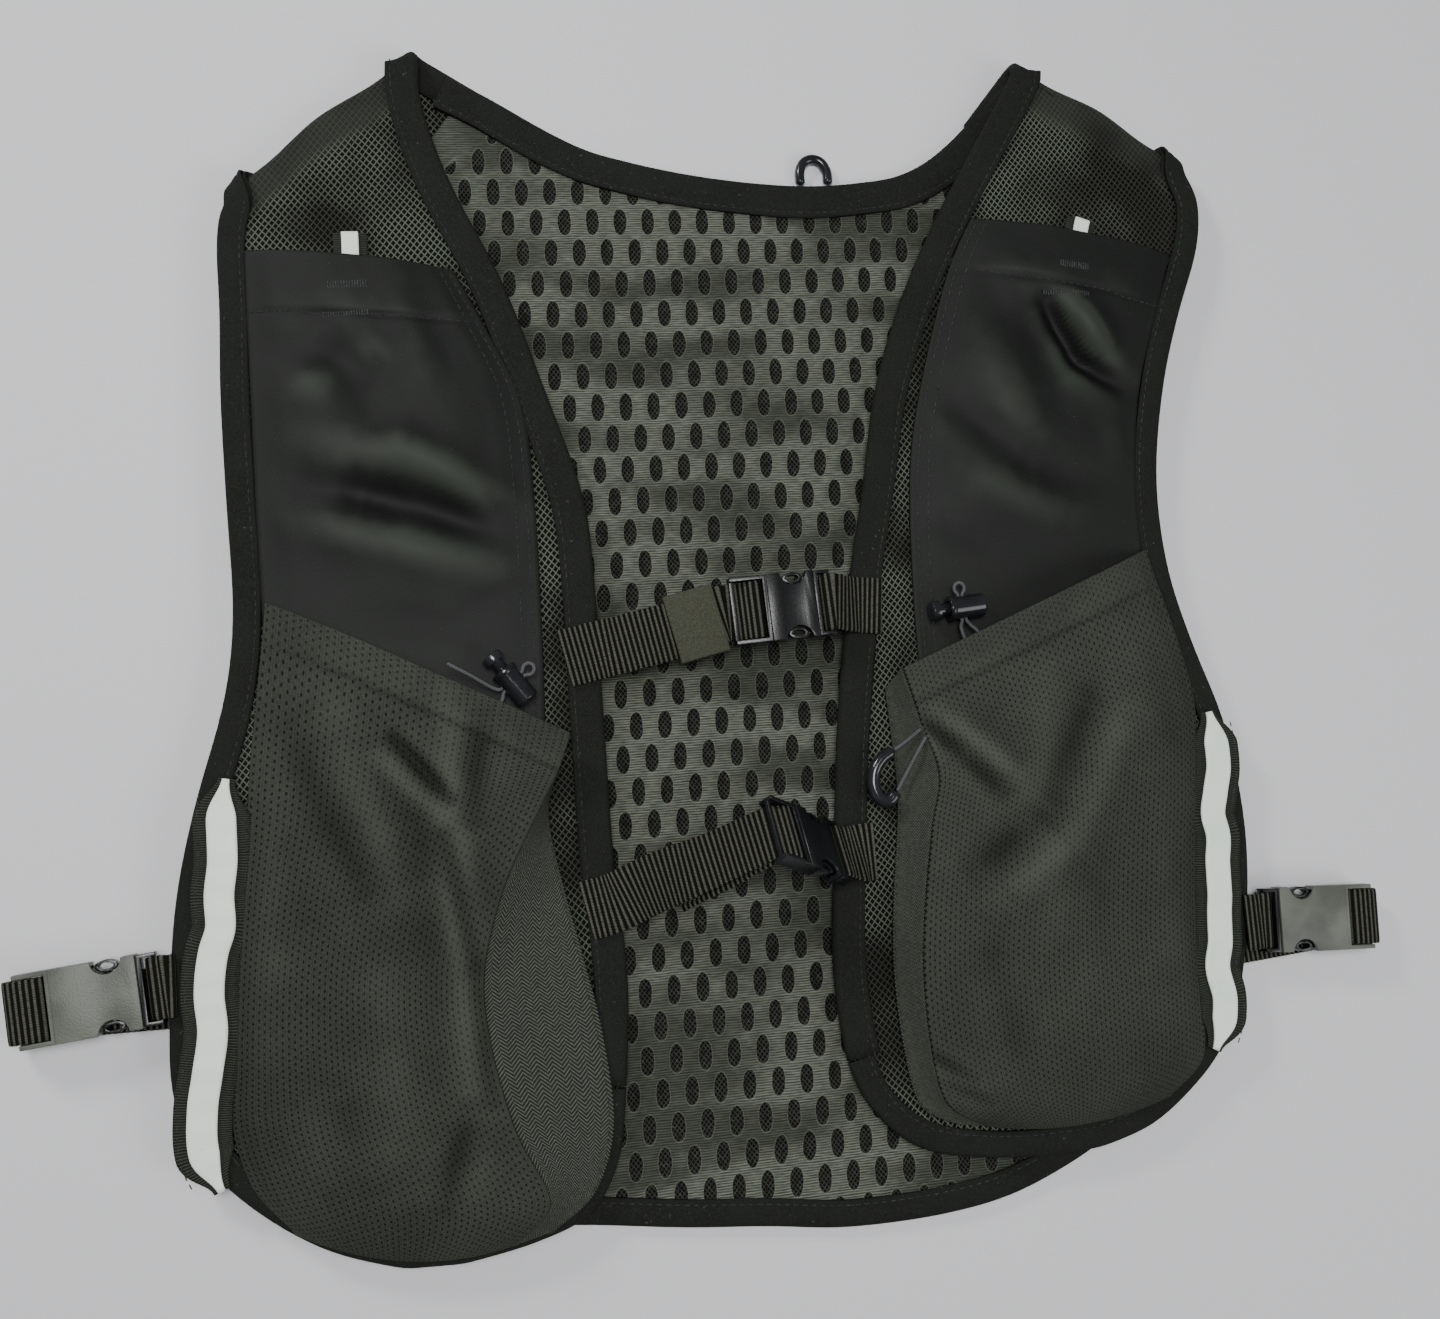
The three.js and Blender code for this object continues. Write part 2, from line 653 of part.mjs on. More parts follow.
// Small pull tabs that stand out of the upper pockets' mouths.
const tabs = { left: { x: -65.3, y: 30.7, turn: 0 }, right: { x: 75.6, y: 31.6, turn: -0.33 } };
const tabBite = 5;

function tabPoints(tab, side, height) {
  const start = place(tab.x, tab.y);
  const heading = new THREE.Vector2(-Math.sin(tab.turn), Math.cos(tab.turn));
  return [-tabBite, -tabBite / 2, 0, 0.3 * tabLength, 0.7 * tabLength, tabLength].map((reach) => {
    const flat = start.clone().addScaledVector(heading, reach);
    const lift = 1.9 * (1 - smooth(reach / (0.8 * tabLength)));
    return onFront(flat, overPanel + lift + height);
  });
}

for (const side of ["left", "right"]) {
  const tab = tabs[side];
  const across = new THREE.Vector3(Math.cos(tab.turn), Math.sin(tab.turn), 0);
  const base = stopsAlong(tabPoints(tab, side, 0), across);
  add(`pocket_tab_${side}`, "grosgrain", sweep(base, rectangle(tabWidth, tapeThickness)));
  const stripe = stopsAlong(tabPoints(tab, side, tapeThickness + clothGap), across);
  add(`tab_stripe_${side}`, "reflective", sweep(stripe, rectangle(tabStripeWidth, tapeThickness)));
}

// Buckles, in their own frame: x along the strap with the insert at the positive end, y across it.
const sideLift = -0.15;
const buckles = {
  sideLeft: { plate: sidePlate, waist: 4, frame: endFrame, at: besideEdge("left", 5.2, 2.6), along: [1, 0.09, 0] },
  sideRight: { plate: sidePlate, waist: 4, frame: endFrame, at: besideEdge("right", 4.8, 6), along: [-1, 0.05, 0] },
  upper: { plate: chestPlate, waist: 1.2, frame: ladderFrame, ladder: true, at: spot([10.8, 0.4, 6.7]), along: [1, 0.05, 0] },
  lower: { plate: chestPlate, waist: 1.2, frame: ladderFrame, ladder: true, at: spot([10, -19.3, 15.7]),
    along: [25, -10, -19], across: [-2, 17, -9.5] },
};

// A side buckle's middle, with the insert's end off the vest's outer edge at that row.
function besideEdge(side, row, clear) {
  const edge = edgePoint(fronts[side].rows, "outer", row);
  const reach = sidePlate / 2 + insertFrame + clear;
  return new THREE.Vector3(edge.x + (side === "left" ? -reach : reach), edge.y, shoulderTop + sideLift);
}

function frameOf({ at, along, across = [-along[1], along[0], 0] }) {
  const x = new THREE.Vector3(...along).normalize();
  const y = new THREE.Vector3(...across);
  y.addScaledVector(x, -y.dot(x)).normalize();
  const z = x.clone().cross(y);
  return new THREE.Matrix4().makeBasis(x, y, z).setPosition(at);
}

function toManifold(geometry) {
  const bare = geometry.clone();
  bare.deleteAttribute("normal");
  bare.deleteAttribute("uv");
  const merged = mergeVertices(bare, 1e-4);
  const vertProperties = new Float32Array(merged.getAttribute("position").array);
  const triVerts = new Uint32Array(merged.getIndex().array);
  return new wasm.Manifold(new wasm.Mesh({ numProp: 3, vertProperties, triVerts }));
}

function fromManifold(solid) {
  const mesh = solid.getMesh();
  const geometry = new THREE.BufferGeometry();
  geometry.setAttribute("position", new THREE.Float32BufferAttribute(mesh.vertProperties, 3));
  geometry.setIndex(new THREE.Uint32BufferAttribute(mesh.triVerts, 1));
  return geometry;
}

function plateOf(shape, thickness, curveSegments = 6) {
  const geometry = new THREE.ExtrudeGeometry(shape, { depth: thickness, bevelEnabled: false, curveSegments });
  return geometry.translate(0, 0, -thickness / 2);
}

function block(x0, x1, halfY, halfZ, middleY = 0) {
  return new THREE.BoxGeometry(x1 - x0, 2 * halfY, 2 * halfZ).translate((x0 + x1) / 2, middleY, 0);
}

const slotHalf = webbingWidth / 2 + clothGap;
const buckleHalfWidth = slotHalf + buckleSide;
const loopRadius = Math.hypot(barSize, barSize) / 2 + clothGap + webbingThickness / 2;
const slotReach = loopRadius + webbingThickness / 2 + clothGap;
const barMiddle = { insert: insertFrame - barSize / 2, end: endFrame - barSize / 2, ladder: slotReach };

function waistCircle(waist, sign) {
  return { x: waist, y: sign * (buckleHalfWidth + clothGap) };
}

// The socket: a hollow plate with two waists for the arms, and a frame that carries the strap.
function buckleSocket({ plate, waist, frame, ladder }) {
  const [left, right, half] = [-plate / 2, plate / 2, buckleHalfWidth];
  const shape = new THREE.Shape();
  shape.moveTo(left, -half);
  const lower = waistCircle(waist, -1);
  const upper = waistCircle(waist, 1);
  const open = Math.asin(clothGap / waistRadius);
  shape.lineTo(lower.x - waistRadius * Math.cos(open), -half);
  shape.absarc(lower.x, lower.y, waistRadius, Math.PI - open, open, true);
  shape.lineTo(right, -half);
  shape.lineTo(right, half);
  shape.lineTo(upper.x + waistRadius * Math.cos(open), half);
  shape.absarc(upper.x, upper.y, waistRadius, -open, Math.PI + open, true);
  shape.lineTo(left, half);
  shape.closePath();
  let solid = toManifold(plateOf(shape, buckleThickness));
  const cavity = block(left + 2 * buckleWall, right + 1, buckleHalfWidth - buckleWall, buckleThickness / 2 - buckleWall);
  solid = solid.subtract(toManifold(cavity));
  const rim = toManifold(block(left - frame, left + 0.5, half, buckleThickness / 2 - 0.4));
  const gap = toManifold(block(left - frame + barSize, left - buckleWall, slotHalf, buckleThickness));
  solid = solid.add(rim.subtract(gap));
  const thinEnd = block(left - frame - 1, left - frame + barSize, slotHalf, buckleThickness);
  solid = solid.subtract(toManifold(thinEnd));
  solid = solid.add(toManifold(block(left - frame, left - frame + barSize, slotHalf + 0.5, barSize / 2)));
  if (ladder) {
    const middle = left - buckleWall - barMiddle.ladder;
    solid = solid.add(toManifold(block(middle - barSize / 2, middle + barSize / 2, slotHalf + 0.5, barSize / 2)));
  }
  return fromManifold(solid);
}

// The insert: a tongue with two sprung arms, whose eyes show in the socket's waists, and a bar.
function buckleInsert({ plate, waist }) {
  const [left, right] = [-plate / 2, plate / 2];
  const tongueHalf = buckleThickness / 2 - buckleWall - clothGap;
  let solid = toManifold(block(left + 2 * buckleWall + clothGap, right + 1.5, buckleHalfWidth - waistRadius - 1.2, tongueHalf));
  for (const sign of [-1, 1]) {
    const centre = waistCircle(waist, sign);
    const eye = new THREE.Shape();
    eye.absellipse(0, 0, eyeLength / 2, eyeWidth / 2, 0, 2 * Math.PI, false, 0);
    const hole = new THREE.Path();
    hole.absellipse(0, 0, eyeLength / 2 - 1.1, eyeWidth / 2 - 0.9, 0, 2 * Math.PI, true, 0);
    eye.holes.push(hole);
    const middleY = centre.y - sign * (eyeWidth / 2 + clothGap);
    const ring = plateOf(eye, buckleThickness - 2 * buckleWall, 6).translate(centre.x, middleY, 0);
    const arm = block(centre.x - 1.1, centre.x + 1.1, 2.2, tongueHalf, middleY - sign * (eyeWidth / 2 + 1.6));
    solid = solid.add(toManifold(ring)).add(toManifold(arm));
  }
  const start = right + clothGap;
  const rim = toManifold(block(start, right + insertFrame, buckleHalfWidth - 0.3, buckleThickness / 2 - 0.7));
  const gap = toManifold(block(start + 1.2, right + insertFrame - barSize, slotHalf, buckleThickness));
  const thinEnd = toManifold(block(right + insertFrame - barSize, right + insertFrame + 1, slotHalf, buckleThickness));
  const bar = toManifold(block(right + insertFrame - barSize, right + insertFrame, slotHalf + 0.5, barSize / 2));
  return fromManifold(solid.add(rim.subtract(gap).subtract(thinEnd)).add(bar));
}

const buckleNames = { sideLeft: "side_buckle_left", sideRight: "side_buckle_right",
  upper: "chest_buckle_upper", lower: "chest_buckle_lower" };
for (const [key, name] of Object.entries(buckleNames)) {
  const matrix = frameOf(buckles[key]);
  add(`${name}_socket`, "plastic", buckleSocket(buckles[key]).applyMatrix4(matrix));
  add(`${name}_insert`, "plastic", buckleInsert(buckles[key]).applyMatrix4(matrix));
}

// Webbing. A strap is a list of points; it lies along one direction in its buckle, then turns to another.
function strap(name, points, across, sewnAcross = across, held = points.length) {
  const loose = Math.max(points.length - held, 1);
  const stops = stopsAlong(points, (k) => across.clone().lerp(sewnAcross, clamp((k - held + 1) / loose, 0, 1)));
  add(name, "webbing", sweep(stops, rectangle(webbingWidth, webbingThickness)));
}

// Points round a bar, between two angles in degrees, in the buckle's own frame.
function roundBar(middle, from, to, radius = loopRadius, height = 0) {
  const steps = Math.ceil(Math.abs(to - from) / 45);
  return Array.from({ length: steps + 1 }, (_, k) => {
    const angle = THREE.MathUtils.degToRad(from + ((to - from) * k) / steps);
    return new THREE.Vector3(middle + radius * Math.cos(angle), 0, height + radius * Math.sin(angle));
  });
}

function inWorld(points, matrix) {
  return points.map((point) => point.applyMatrix4(matrix));
}

function acrossOf(matrix) {
  return new THREE.Vector3().setFromMatrixColumn(matrix, 1);
}

// The strap that is sewn to the vest and looped round the insert's bar.
function insertStrap(name, buckle, tail, sewn) {
  const matrix = frameOf(buckle);
  const bar = buckle.plate / 2 + barMiddle.insert;
  const exit = new THREE.Vector3(bar + barSize, 0, loopRadius);
  const around = [new THREE.Vector3(bar + tail, 0, -loopRadius), ...roundBar(bar, 270, 90), exit];
  const points = [...inWorld(around, matrix), ...sewn.points];
  strap(name, points, acrossOf(matrix), sewn.across, around.length);
}

const sideSewn = {
  left: { across: [-0.09, 1, 0], reaches: [-0.1, 1.1, 2.5], row: 5.2, shift: 1.9 },
  right: { across: [-0.03, -1, 0], reaches: [-1.2, 0.4, 1.9], row: 4.8, shift: 0.9 },
};
const sideTail = 1.6;

// The side strap from the back: under the buckle, round its outer bar and down through the frame.
const backRunHeight = floorGap + 1.5 * webbingThickness - shoulderTop - sideLift;
const sideBackEnds = { left: { reach: 33.4, shift: -5.5 }, right: { reach: 34.6, shift: 7 } };

function backStrap(side, buckle) {
  const matrix = frameOf(buckle);
  const bar = -(buckle.plate / 2 + barMiddle.end);
  const { reach, shift } = sideBackEnds[side];
  const radius = (loopRadius - backRunHeight) / 2;
  const turn = roundBar(bar, 270, 90, radius, backRunHeight + radius);
  const plateEdge = -buckle.plate / 2 - buckleWall;
  const down = roundBar(plateEdge - slotReach, 90, 0);
  const points = [
    new THREE.Vector3(reach, shift, backRunHeight),
    new THREE.Vector3(reach / 2, 0.7 * shift, backRunHeight),
    new THREE.Vector3(bar / 2, 0.2 * shift, backRunHeight),
    ...turn,
    ...down,
  ];
  strap(`side_strap_back_${side}`, inWorld(points, matrix), acrossOf(matrix));
}

for (const side of ["left", "right"]) {
  const buckle = side === "left" ? buckles.sideLeft : buckles.sideRight;
  const inward = side === "left" ? 1 : -1;
  const { across, reaches, row, shift } = sideSewn[side];
  const edge = edgePoint(fronts[side].rows, "outer", row);
  const points = reaches.map((reach) => {
    const flat = new THREE.Vector2(edge.x + inward * reach, edge.y + shift);
    return onFront(flat, overBinding + 2 * clothGap);
  });
  insertStrap(`side_strap_front_${side}`, buckle, sideTail, { across: new THREE.Vector3(...across), points });
  backStrap(side, buckle);
}

// Chest straps: sewn on the left front binding, up through the ladder and back under themselves.
// The pitch is the angle, in degrees, at which a strap comes up through its ladder.
const chestStraps = {
  upper: {
    buckle: buckles.upper,
    pitch: 0,
    sewn: [[-31.4, -2.8], [-25.0, -2.2]],
    run: [[-22.2, -2.0, 3.8], [-17.8, -1.6, 4.7], [-12.2, -1.1, 4.7], [-6.7, -0.6, 4.7]],
    tail: [[-2.2, -0.1, 2.8], [-6.7, -0.6, 2.8], [-11.7, -1.1, 2.8]],
    startAcross: [-0.19, 0.98, 0],
    doubled: [2, 4],
    right: [[21.7, 0.4, 6.2], [24.4, 0.3, 3.7], [28.6, 0.1, 3.5]],
  },
  lower: {
    buckle: buckles.lower,
    pitch: 60,
    sewn: [[-30.6, -23.2], [-25.3, -22.7]],
    run: [[-21.1, -21.9, 5.2], [-16.7, -21.1, 10.0], [-12.2, -20.4, 14.7], [-7.2, -19.6, 18.2]],
    tail: [[-6.3, -20.1, 15.3], [-11.2, -20.9, 11.7], [-15.0, -21.6, 8.0]],
    startAcross: [-0.4, 0.91, 0],
    doubled: [3, 5],
    right: [[18.9, -20.4, 6.5], [20.9, -20.4, 4.5], [23.1, -20.4, 3.8]],
  },
};
const rightAcross = new THREE.Vector3(0, 1, 0);
const layerStep = webbingThickness + 2 * clothGap;

function vectors(rows) {
  return rows.map((row) => new THREE.Vector3(...row));
}

// Where the strap goes in the ladder's frame, coming in at a pitch under the end bar.
function ladderRoute(buckle, pitch) {
  const middle = -buckle.plate / 2 - buckleWall - barMiddle.ladder;
  const endBar = -buckle.plate / 2 - buckle.frame + barSize / 2;
  const angle = THREE.MathUtils.degToRad(pitch);
  const heading = new THREE.Vector3(Math.cos(angle), 0, Math.sin(angle));
  const below = new THREE.Vector3(Math.sin(angle), 0, -Math.cos(angle));
  const contact = new THREE.Vector3(endBar, 0, 0).addScaledVector(below, loopRadius);
  const incoming = contact.clone().addScaledVector(heading, -3);
  const outgoing = contact.clone().addScaledVector(below, 1.4 * layerStep).addScaledVector(heading, -2);
  return [incoming, contact, ...roundBar(middle, 120, -90), outgoing];
}

function chestLeft(level, { buckle, pitch, sewn, run, tail, startAcross, doubled }) {
  const matrix = frameOf(buckle);
  const ground = sewn.map(([x, y]) => onFront(place(x, y), overBinding + clothGap / 2));
  const points = [...ground, ...spots(run), ...inWorld(ladderRoute(buckle, pitch), matrix), ...spots(tail)];
  const turned = acrossOf(matrix);
  const start = new THREE.Vector3(...startAcross);
  const entry = sewn.length + run.length;
  const last = points.length - 1;
  const share = (k) => (k <= entry ? k / entry : clamp((last - k + 3) / (tail.length + 3), 0, 1));
  const stops = stopsAlong(points, (k) => start.clone().lerp(turned, smooth(share(k))));
  add(`chest_strap_${level}_left`, "webbing", sweep(stops, rectangle(webbingWidth, webbingThickness)));
  const [from, to] = doubled;
  const raised = stops.slice(from, to).map(({ point, across, up }) => {
    const lifted = point.clone().addScaledVector(up, layerStep);
    return { point: lifted, across, up };
  });
  add(`chest_strap_${level}_doubling`, "webbing", sweep(raised, rectangle(webbingWidth, webbingThickness)));
}

// A woven keeper round both layers of the upper strap.
function keeper() {
  const [start, end] = [spot(chestStraps.upper.run[2]), spot(chestStraps.upper.tail[0])];
  const middleHeight = (spot(chestStraps.upper.run[3]).z + spot(chestStraps.upper.tail[1]).z) / 2;
  const at = start.clone().lerp(end, 0.5).setZ(middleHeight);
  const along = end.clone().sub(start).setZ(0);
  const matrix = frameOf({ at, along, across: [-along.y, along.x, 0] });
  const layers = Math.abs(spot(chestStraps.upper.run[3]).z - spot(chestStraps.upper.tail[1]).z);
  const innerHalf = (layers + webbingThickness) / 2 + 1.5 * clothGap;
  const wide = webbingWidth / 2 + 2.5 * clothGap;
  const outer = block(-keeperLength / 2, keeperLength / 2, wide + clothThickness, innerHalf + clothThickness);
  const hollow = block(-keeperLength, keeperLength, wide, innerHalf);
  const solid = toManifold(outer).subtract(toManifold(hollow));
  add("strap_keeper", "webbing", fromManifold(solid).applyMatrix4(matrix));
}

for (const [level, plan] of Object.entries(chestStraps)) {
  chestLeft(level, plan);
  insertStrap(`chest_strap_${level}_right`, plan.buckle, sideTail, { across: rightAcross, points: spots(plan.right) });
}
keeper();

// Cord locks: x runs from the barrel's mouth to its closed end, and y points to the cord's loop.
const lockLift = 7.6;
const locks = {
  left: { mouth: [-42.8, -3.55], along: [0.6, -0.8] },
  right: { mouth: [40.9, -0.6], along: [1, 0.08] },
};

function lockMatrix({ mouth, along }) {
  const at = onFront(place(...mouth), lockLift);
  return frameOf({ at, along: [...along, 0] });
}

// A turned solid along x, from a profile of [x, radius].
function turned(profile, sides) {
  const points = profile.map(([x, radius]) => new THREE.Vector2(radius, x));
  return new THREE.LatheGeometry(points, sides).rotateZ(-Math.PI / 2);
}

const holeLong = cordPitch / 2 + cordDiameter / 2 + clothGap;
const holeHigh = cordDiameter / 2 + clothGap;

function lockBarrel(side) {
  const inside = lockLength - lockBottom;
  const profile = [[inside, 0], [inside, lockBore], [0, lockBore], [0, lockRim], [1.4, lockRim], [1.8, lockRadius],
    [lockLength - 0.6, lockRadius], [lockLength, lockRadius - 0.6], [lockLength, 0]];
  let solid = toManifold(turned(profile, 16));
  solid = solid.subtract(toManifold(block(cordHoleAt - holeLong, cordHoleAt + holeLong, 2 * lockRadius, holeHigh)));
  add(`cord_lock_barrel_${side}`, "gloss", fromManifold(solid).applyMatrix4(lockMatrix(locks[side])));
}

function lockPlunger(side) {
  const neck = plungerTravel + clothGap;
  const end = cordHoleAt + holeLong + 0.9;
  const head = -neck - plungerHeadLength;
  const profile = [[head, 0], [head, plungerHeadRadius - 0.5], [head + 0.5, plungerHeadRadius], [-neck, plungerHeadRadius],
    [-neck, plungerRadius], [end, plungerRadius], [end, 0]];
  let solid = toManifold(turned(profile, 16));
  const slot = block(cordHoleAt - holeLong - plungerTravel, cordHoleAt + holeLong, 2 * lockRadius, holeHigh);
  solid = solid.subtract(toManifold(slot));
  add(`cord_lock_plunger_${side}`, "gloss", fromManifold(solid).applyMatrix4(lockMatrix(locks[side])));
}

// The cord's route in the lock's frame: in through the barrel, round a small loop and out again.
const loopRoute = [[5.8, -4.6, 0], [5.8, -1.5, 0], [5.8, 1.5, 0], [5.8, 4.4, 0], [6.7, 6, 0.3], [6.3, 7.7, 0.6], [4.9, 8.4, 0.7],
  [3.5, 7.7, 0.6], [3.2, 6, 0.3], [4.2, 4.4, 0], [4.2, 1.5, 0], [4.2, -1.5, 0], [4.2, -4.6, 0]];
const cordEnds = {
  left: {
    first: [[-44.2, -7.0, 7.1], [-43.7, -6.3, 7.5], [-43.1, -5.8, 7.6]],
    last: [[-44.4, -5.0, 7.8], [-46.4, -4.5, 9.5], [-48.6, -3.9, 11.7], [-50.6, -3.4, 13.3], [-52.5, -2.9, 14.0]],
  },
  right: {
    first: [[47.0, -3.2, 7.7], [46.2, -2.6, 7.8], [45.1, -2.1, 7.7]],
    last: [[43.1, -2.1, 7.6], [43.4, -2.8, 7.5], [43.9, -3.4, 7.2]],
  },
};

function pocketCord(side) {
  const loop = inWorld(vectors(loopRoute), lockMatrix(locks[side]));
  const route = [...spots(cordEnds[side].first), ...loop, ...spots(cordEnds[side].last)];
  const curve = new THREE.CatmullRomCurve3(route, false, "centripetal");
  const stops = stopsAlong(curve.getPoints(route.length + 2), new THREE.Vector3(0, 0, 1));
  add(`pocket_cord_${side}`, "elastic", sweep(stops, round(cordDiameter, 8)));
}

for (const side of ["left", "right"]) {
  lockBarrel(side);
  lockPlunger(side);
  pocketCord(side);
}

// Two small plastic hooks: one on elastic strands by the right pocket, one behind the neck.
function wireHook(name, finish, points, diameter, steps, sides = 10) {
  const curve = new THREE.CatmullRomCurve3(points, false, "centripetal");
  const stops = stopsAlong(curve.getPoints(steps), new THREE.Vector3(0, 0, 1));
  add(name, finish, sweep(stops, round(diameter, sides)));
}

// A point one gap beyond the end of a line.
function pastEnd(before, end) {
  return end.clone().addScaledVector(end.clone().sub(before).normalize(), clothGap);
}

const hookLift = 5.9;
const hookPoints = spots([[28, -12.2, hookLift], [25.8, -12.75, hookLift], [24.1, -13.75, hookLift], [23.7, -15, hookLift],
  [24.6, -16.1, hookLift], [26.3, -16.35, hookLift], [27.9, -15.65, hookLift]]);
wireHook("accessory_hook", "gloss", hookPoints, hookWire, 16);
const hookCord = [pastEnd(...hookPoints.slice(-2)), ...spots([[30, -14.15, 6.65], [32, -12.5, 9.45], [33.7, -11.25, 10.85]])];
wireHook("hook_cord", "elastic", hookCord, cordDiameter, 9, 8);
const hookCordUpper = [pastEnd(hookPoints[1], hookPoints[0]), ...spots([[30.7, -11.4, 7.65], [32.8, -10.6, 10.85]])];
wireHook("hook_cord_upper", "elastic", hookCordUpper, cordDiameter, 6, 8);

// The neck hook stands on the neckline's edge; its route is across and away from there.
const neckHookAt = backSurface(1, 0.599);
const neckHookRoute = [[-5, 0.6], [-4.9, 5.6], [-3.2, 9], [0, 10.2], [3.1, 9], [4.9, 5.6], [5, 0.8]];
const neckHookPoints = neckHookRoute.map(([x, y]) => {
  return new THREE.Vector3(neckHookAt.x + x, neckHookAt.y + y, floorGap + neckHookWire / 2);
});
wireHook("neck_hook", "gloss", neckHookPoints, neckHookWire, 14);

// The origin is the middle of the vest's footprint, on the surface it lies on.
const bounds = new THREE.Box3().setFromObject(vest);
vest.position.set(-(bounds.min.x + bounds.max.x) / 2, -(bounds.min.y + bounds.max.y) / 2, -bounds.min.z);

export default vest;
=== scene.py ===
import bpy
import math
import numpy as np
from mathutils import Matrix, Vector


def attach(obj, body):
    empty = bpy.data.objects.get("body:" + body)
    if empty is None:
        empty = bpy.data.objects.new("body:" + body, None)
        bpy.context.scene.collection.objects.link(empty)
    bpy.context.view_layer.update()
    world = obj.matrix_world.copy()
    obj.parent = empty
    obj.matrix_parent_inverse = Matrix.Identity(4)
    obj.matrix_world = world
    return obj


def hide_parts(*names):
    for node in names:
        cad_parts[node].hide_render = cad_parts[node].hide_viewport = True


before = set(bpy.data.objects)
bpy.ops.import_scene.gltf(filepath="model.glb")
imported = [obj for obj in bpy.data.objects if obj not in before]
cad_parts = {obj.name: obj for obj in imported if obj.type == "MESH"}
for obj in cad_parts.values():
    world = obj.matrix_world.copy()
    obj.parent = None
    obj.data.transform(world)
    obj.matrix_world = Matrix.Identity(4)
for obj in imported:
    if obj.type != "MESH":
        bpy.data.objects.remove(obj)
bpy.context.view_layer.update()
print("frame loaded:", len(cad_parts), "nodes")

# The photograph's camera, in millimetres from where the vest was measured.
# The shift moves that place to the frame's origin.
camera = {
    "place": (-94.03, -63.85, 491.27),
    "forward": (0.180685, 0.100737, -0.978369),
    "up": (0.058889, 0.991848, 0.113001),
    "shift": (3.2558, 1.4493, 0),
    "lens": 36.95,
}
shift = np.array(camera["shift"])


def toMetres(points):
    return (np.asarray(points, float) + shift) / 1000


def addCamera():
    data = bpy.data.cameras.new("camera")
    data.lens = camera["lens"]
    data.sensor_width = 36
    data.clip_start = 0.01
    eye = bpy.data.objects.new("camera", data)
    bpy.context.collection.objects.link(eye)
    forward = Vector(camera["forward"]).normalized()
    up = Vector(camera["up"])
    right = forward.cross(up).normalized()
    up = right.cross(forward)
    turn = Matrix((right, up, -forward)).transposed().to_4x4()
    eye.matrix_world = Matrix.Translation(toMetres(camera["place"])) @ turn
    bpy.context.scene.camera = eye


# A plain studio: a pale floor, a large soft light overhead and two weaker ones at the sides.
studio = {
    "floor": 3.0,
    "floorColour": (0.78, 0.78, 0.8),
    "world": (0.9, 0.93, 1.0),
    "worldStrength": 0.15,
    "lights": (
        ("overhead", (-0.15, 0.05, 1.1), 0.4, 8.5),
        ("upperLeft", (-0.8, 0.85, 0.65), 0.25, 7),
        ("lowerRight", (0.9, -0.5, 0.8), 0.6, 4.5),
    ),
}


def addStudio():
    bpy.ops.mesh.primitive_plane_add(size=studio["floor"], location=(0, 0, -0.0002))
    floor = bpy.context.object
    floor.name = "floor"
    paint = bpy.data.materials.new("floor")
    paint.use_nodes = True
    shader = paint.node_tree.nodes["Principled BSDF"]
    shader.inputs["Base Color"].default_value = (*studio["floorColour"], 1)
    shader.inputs["Roughness"].default_value = 0.9
    floor.data.materials.append(paint)
    world = bpy.data.worlds.new("studio")
    world.use_nodes = True
    sky = world.node_tree.nodes["Background"]
    sky.inputs["Color"].default_value = (*studio["world"], 1)
    sky.inputs["Strength"].default_value = studio["worldStrength"]
    bpy.context.scene.world = world
    for name, place, size, watts in studio["lights"]:
        bpy.ops.object.light_add(type="AREA", location=place)
        light = bpy.context.object
        light.name = name
        light.data.size = size
        light.data.energy = watts
        light.rotation_euler = (-Vector(place)).to_track_quat("-Z", "Y").to_euler()


addCamera()
addStudio()


# Shader maths as expressions: a Field is one socket, and its operators add Math nodes.
class Field:
    def __init__(self, tree, socket):
        self.tree, self.socket = tree, socket

    def maths(self, operation, *values):
        node = self.tree.nodes.new("ShaderNodeMath")
        node.operation = operation
        for slot, value in zip(node.inputs, values):
            if isinstance(value, Field):
                self.tree.links.new(value.socket, slot)
            else:
                slot.default_value = value
        return Field(self.tree, node.outputs[0])

    def __add__(self, other):
        return self.maths("ADD", self, other)

    __radd__ = __add__

    def __mul__(self, other):
        return self.maths("MULTIPLY", self, other)

    __rmul__ = __mul__

    def __sub__(self, other):
        return self.maths("SUBTRACT", self, other)

    def __rsub__(self, other):
        return self.maths("SUBTRACT", other, self)

    def __truediv__(self, other):
        return self.maths("DIVIDE", self, other)

    def __abs__(self):
        return self.maths("ABSOLUTE", self)

    def wave(self):
        return self.maths("SINE", self)

    def ribs(self, pitch):  # a wave as long as the pitch
        return (self * (2 * math.pi / pitch)).wave()

    def part(self):
        return self.maths("FRACT", self)

    def whole(self):
        return self.maths("FLOOR", self)

    def most(self, other):
        return self.maths("MAXIMUM", self, other)

    def root(self):
        return self.maths("SQRT", self)


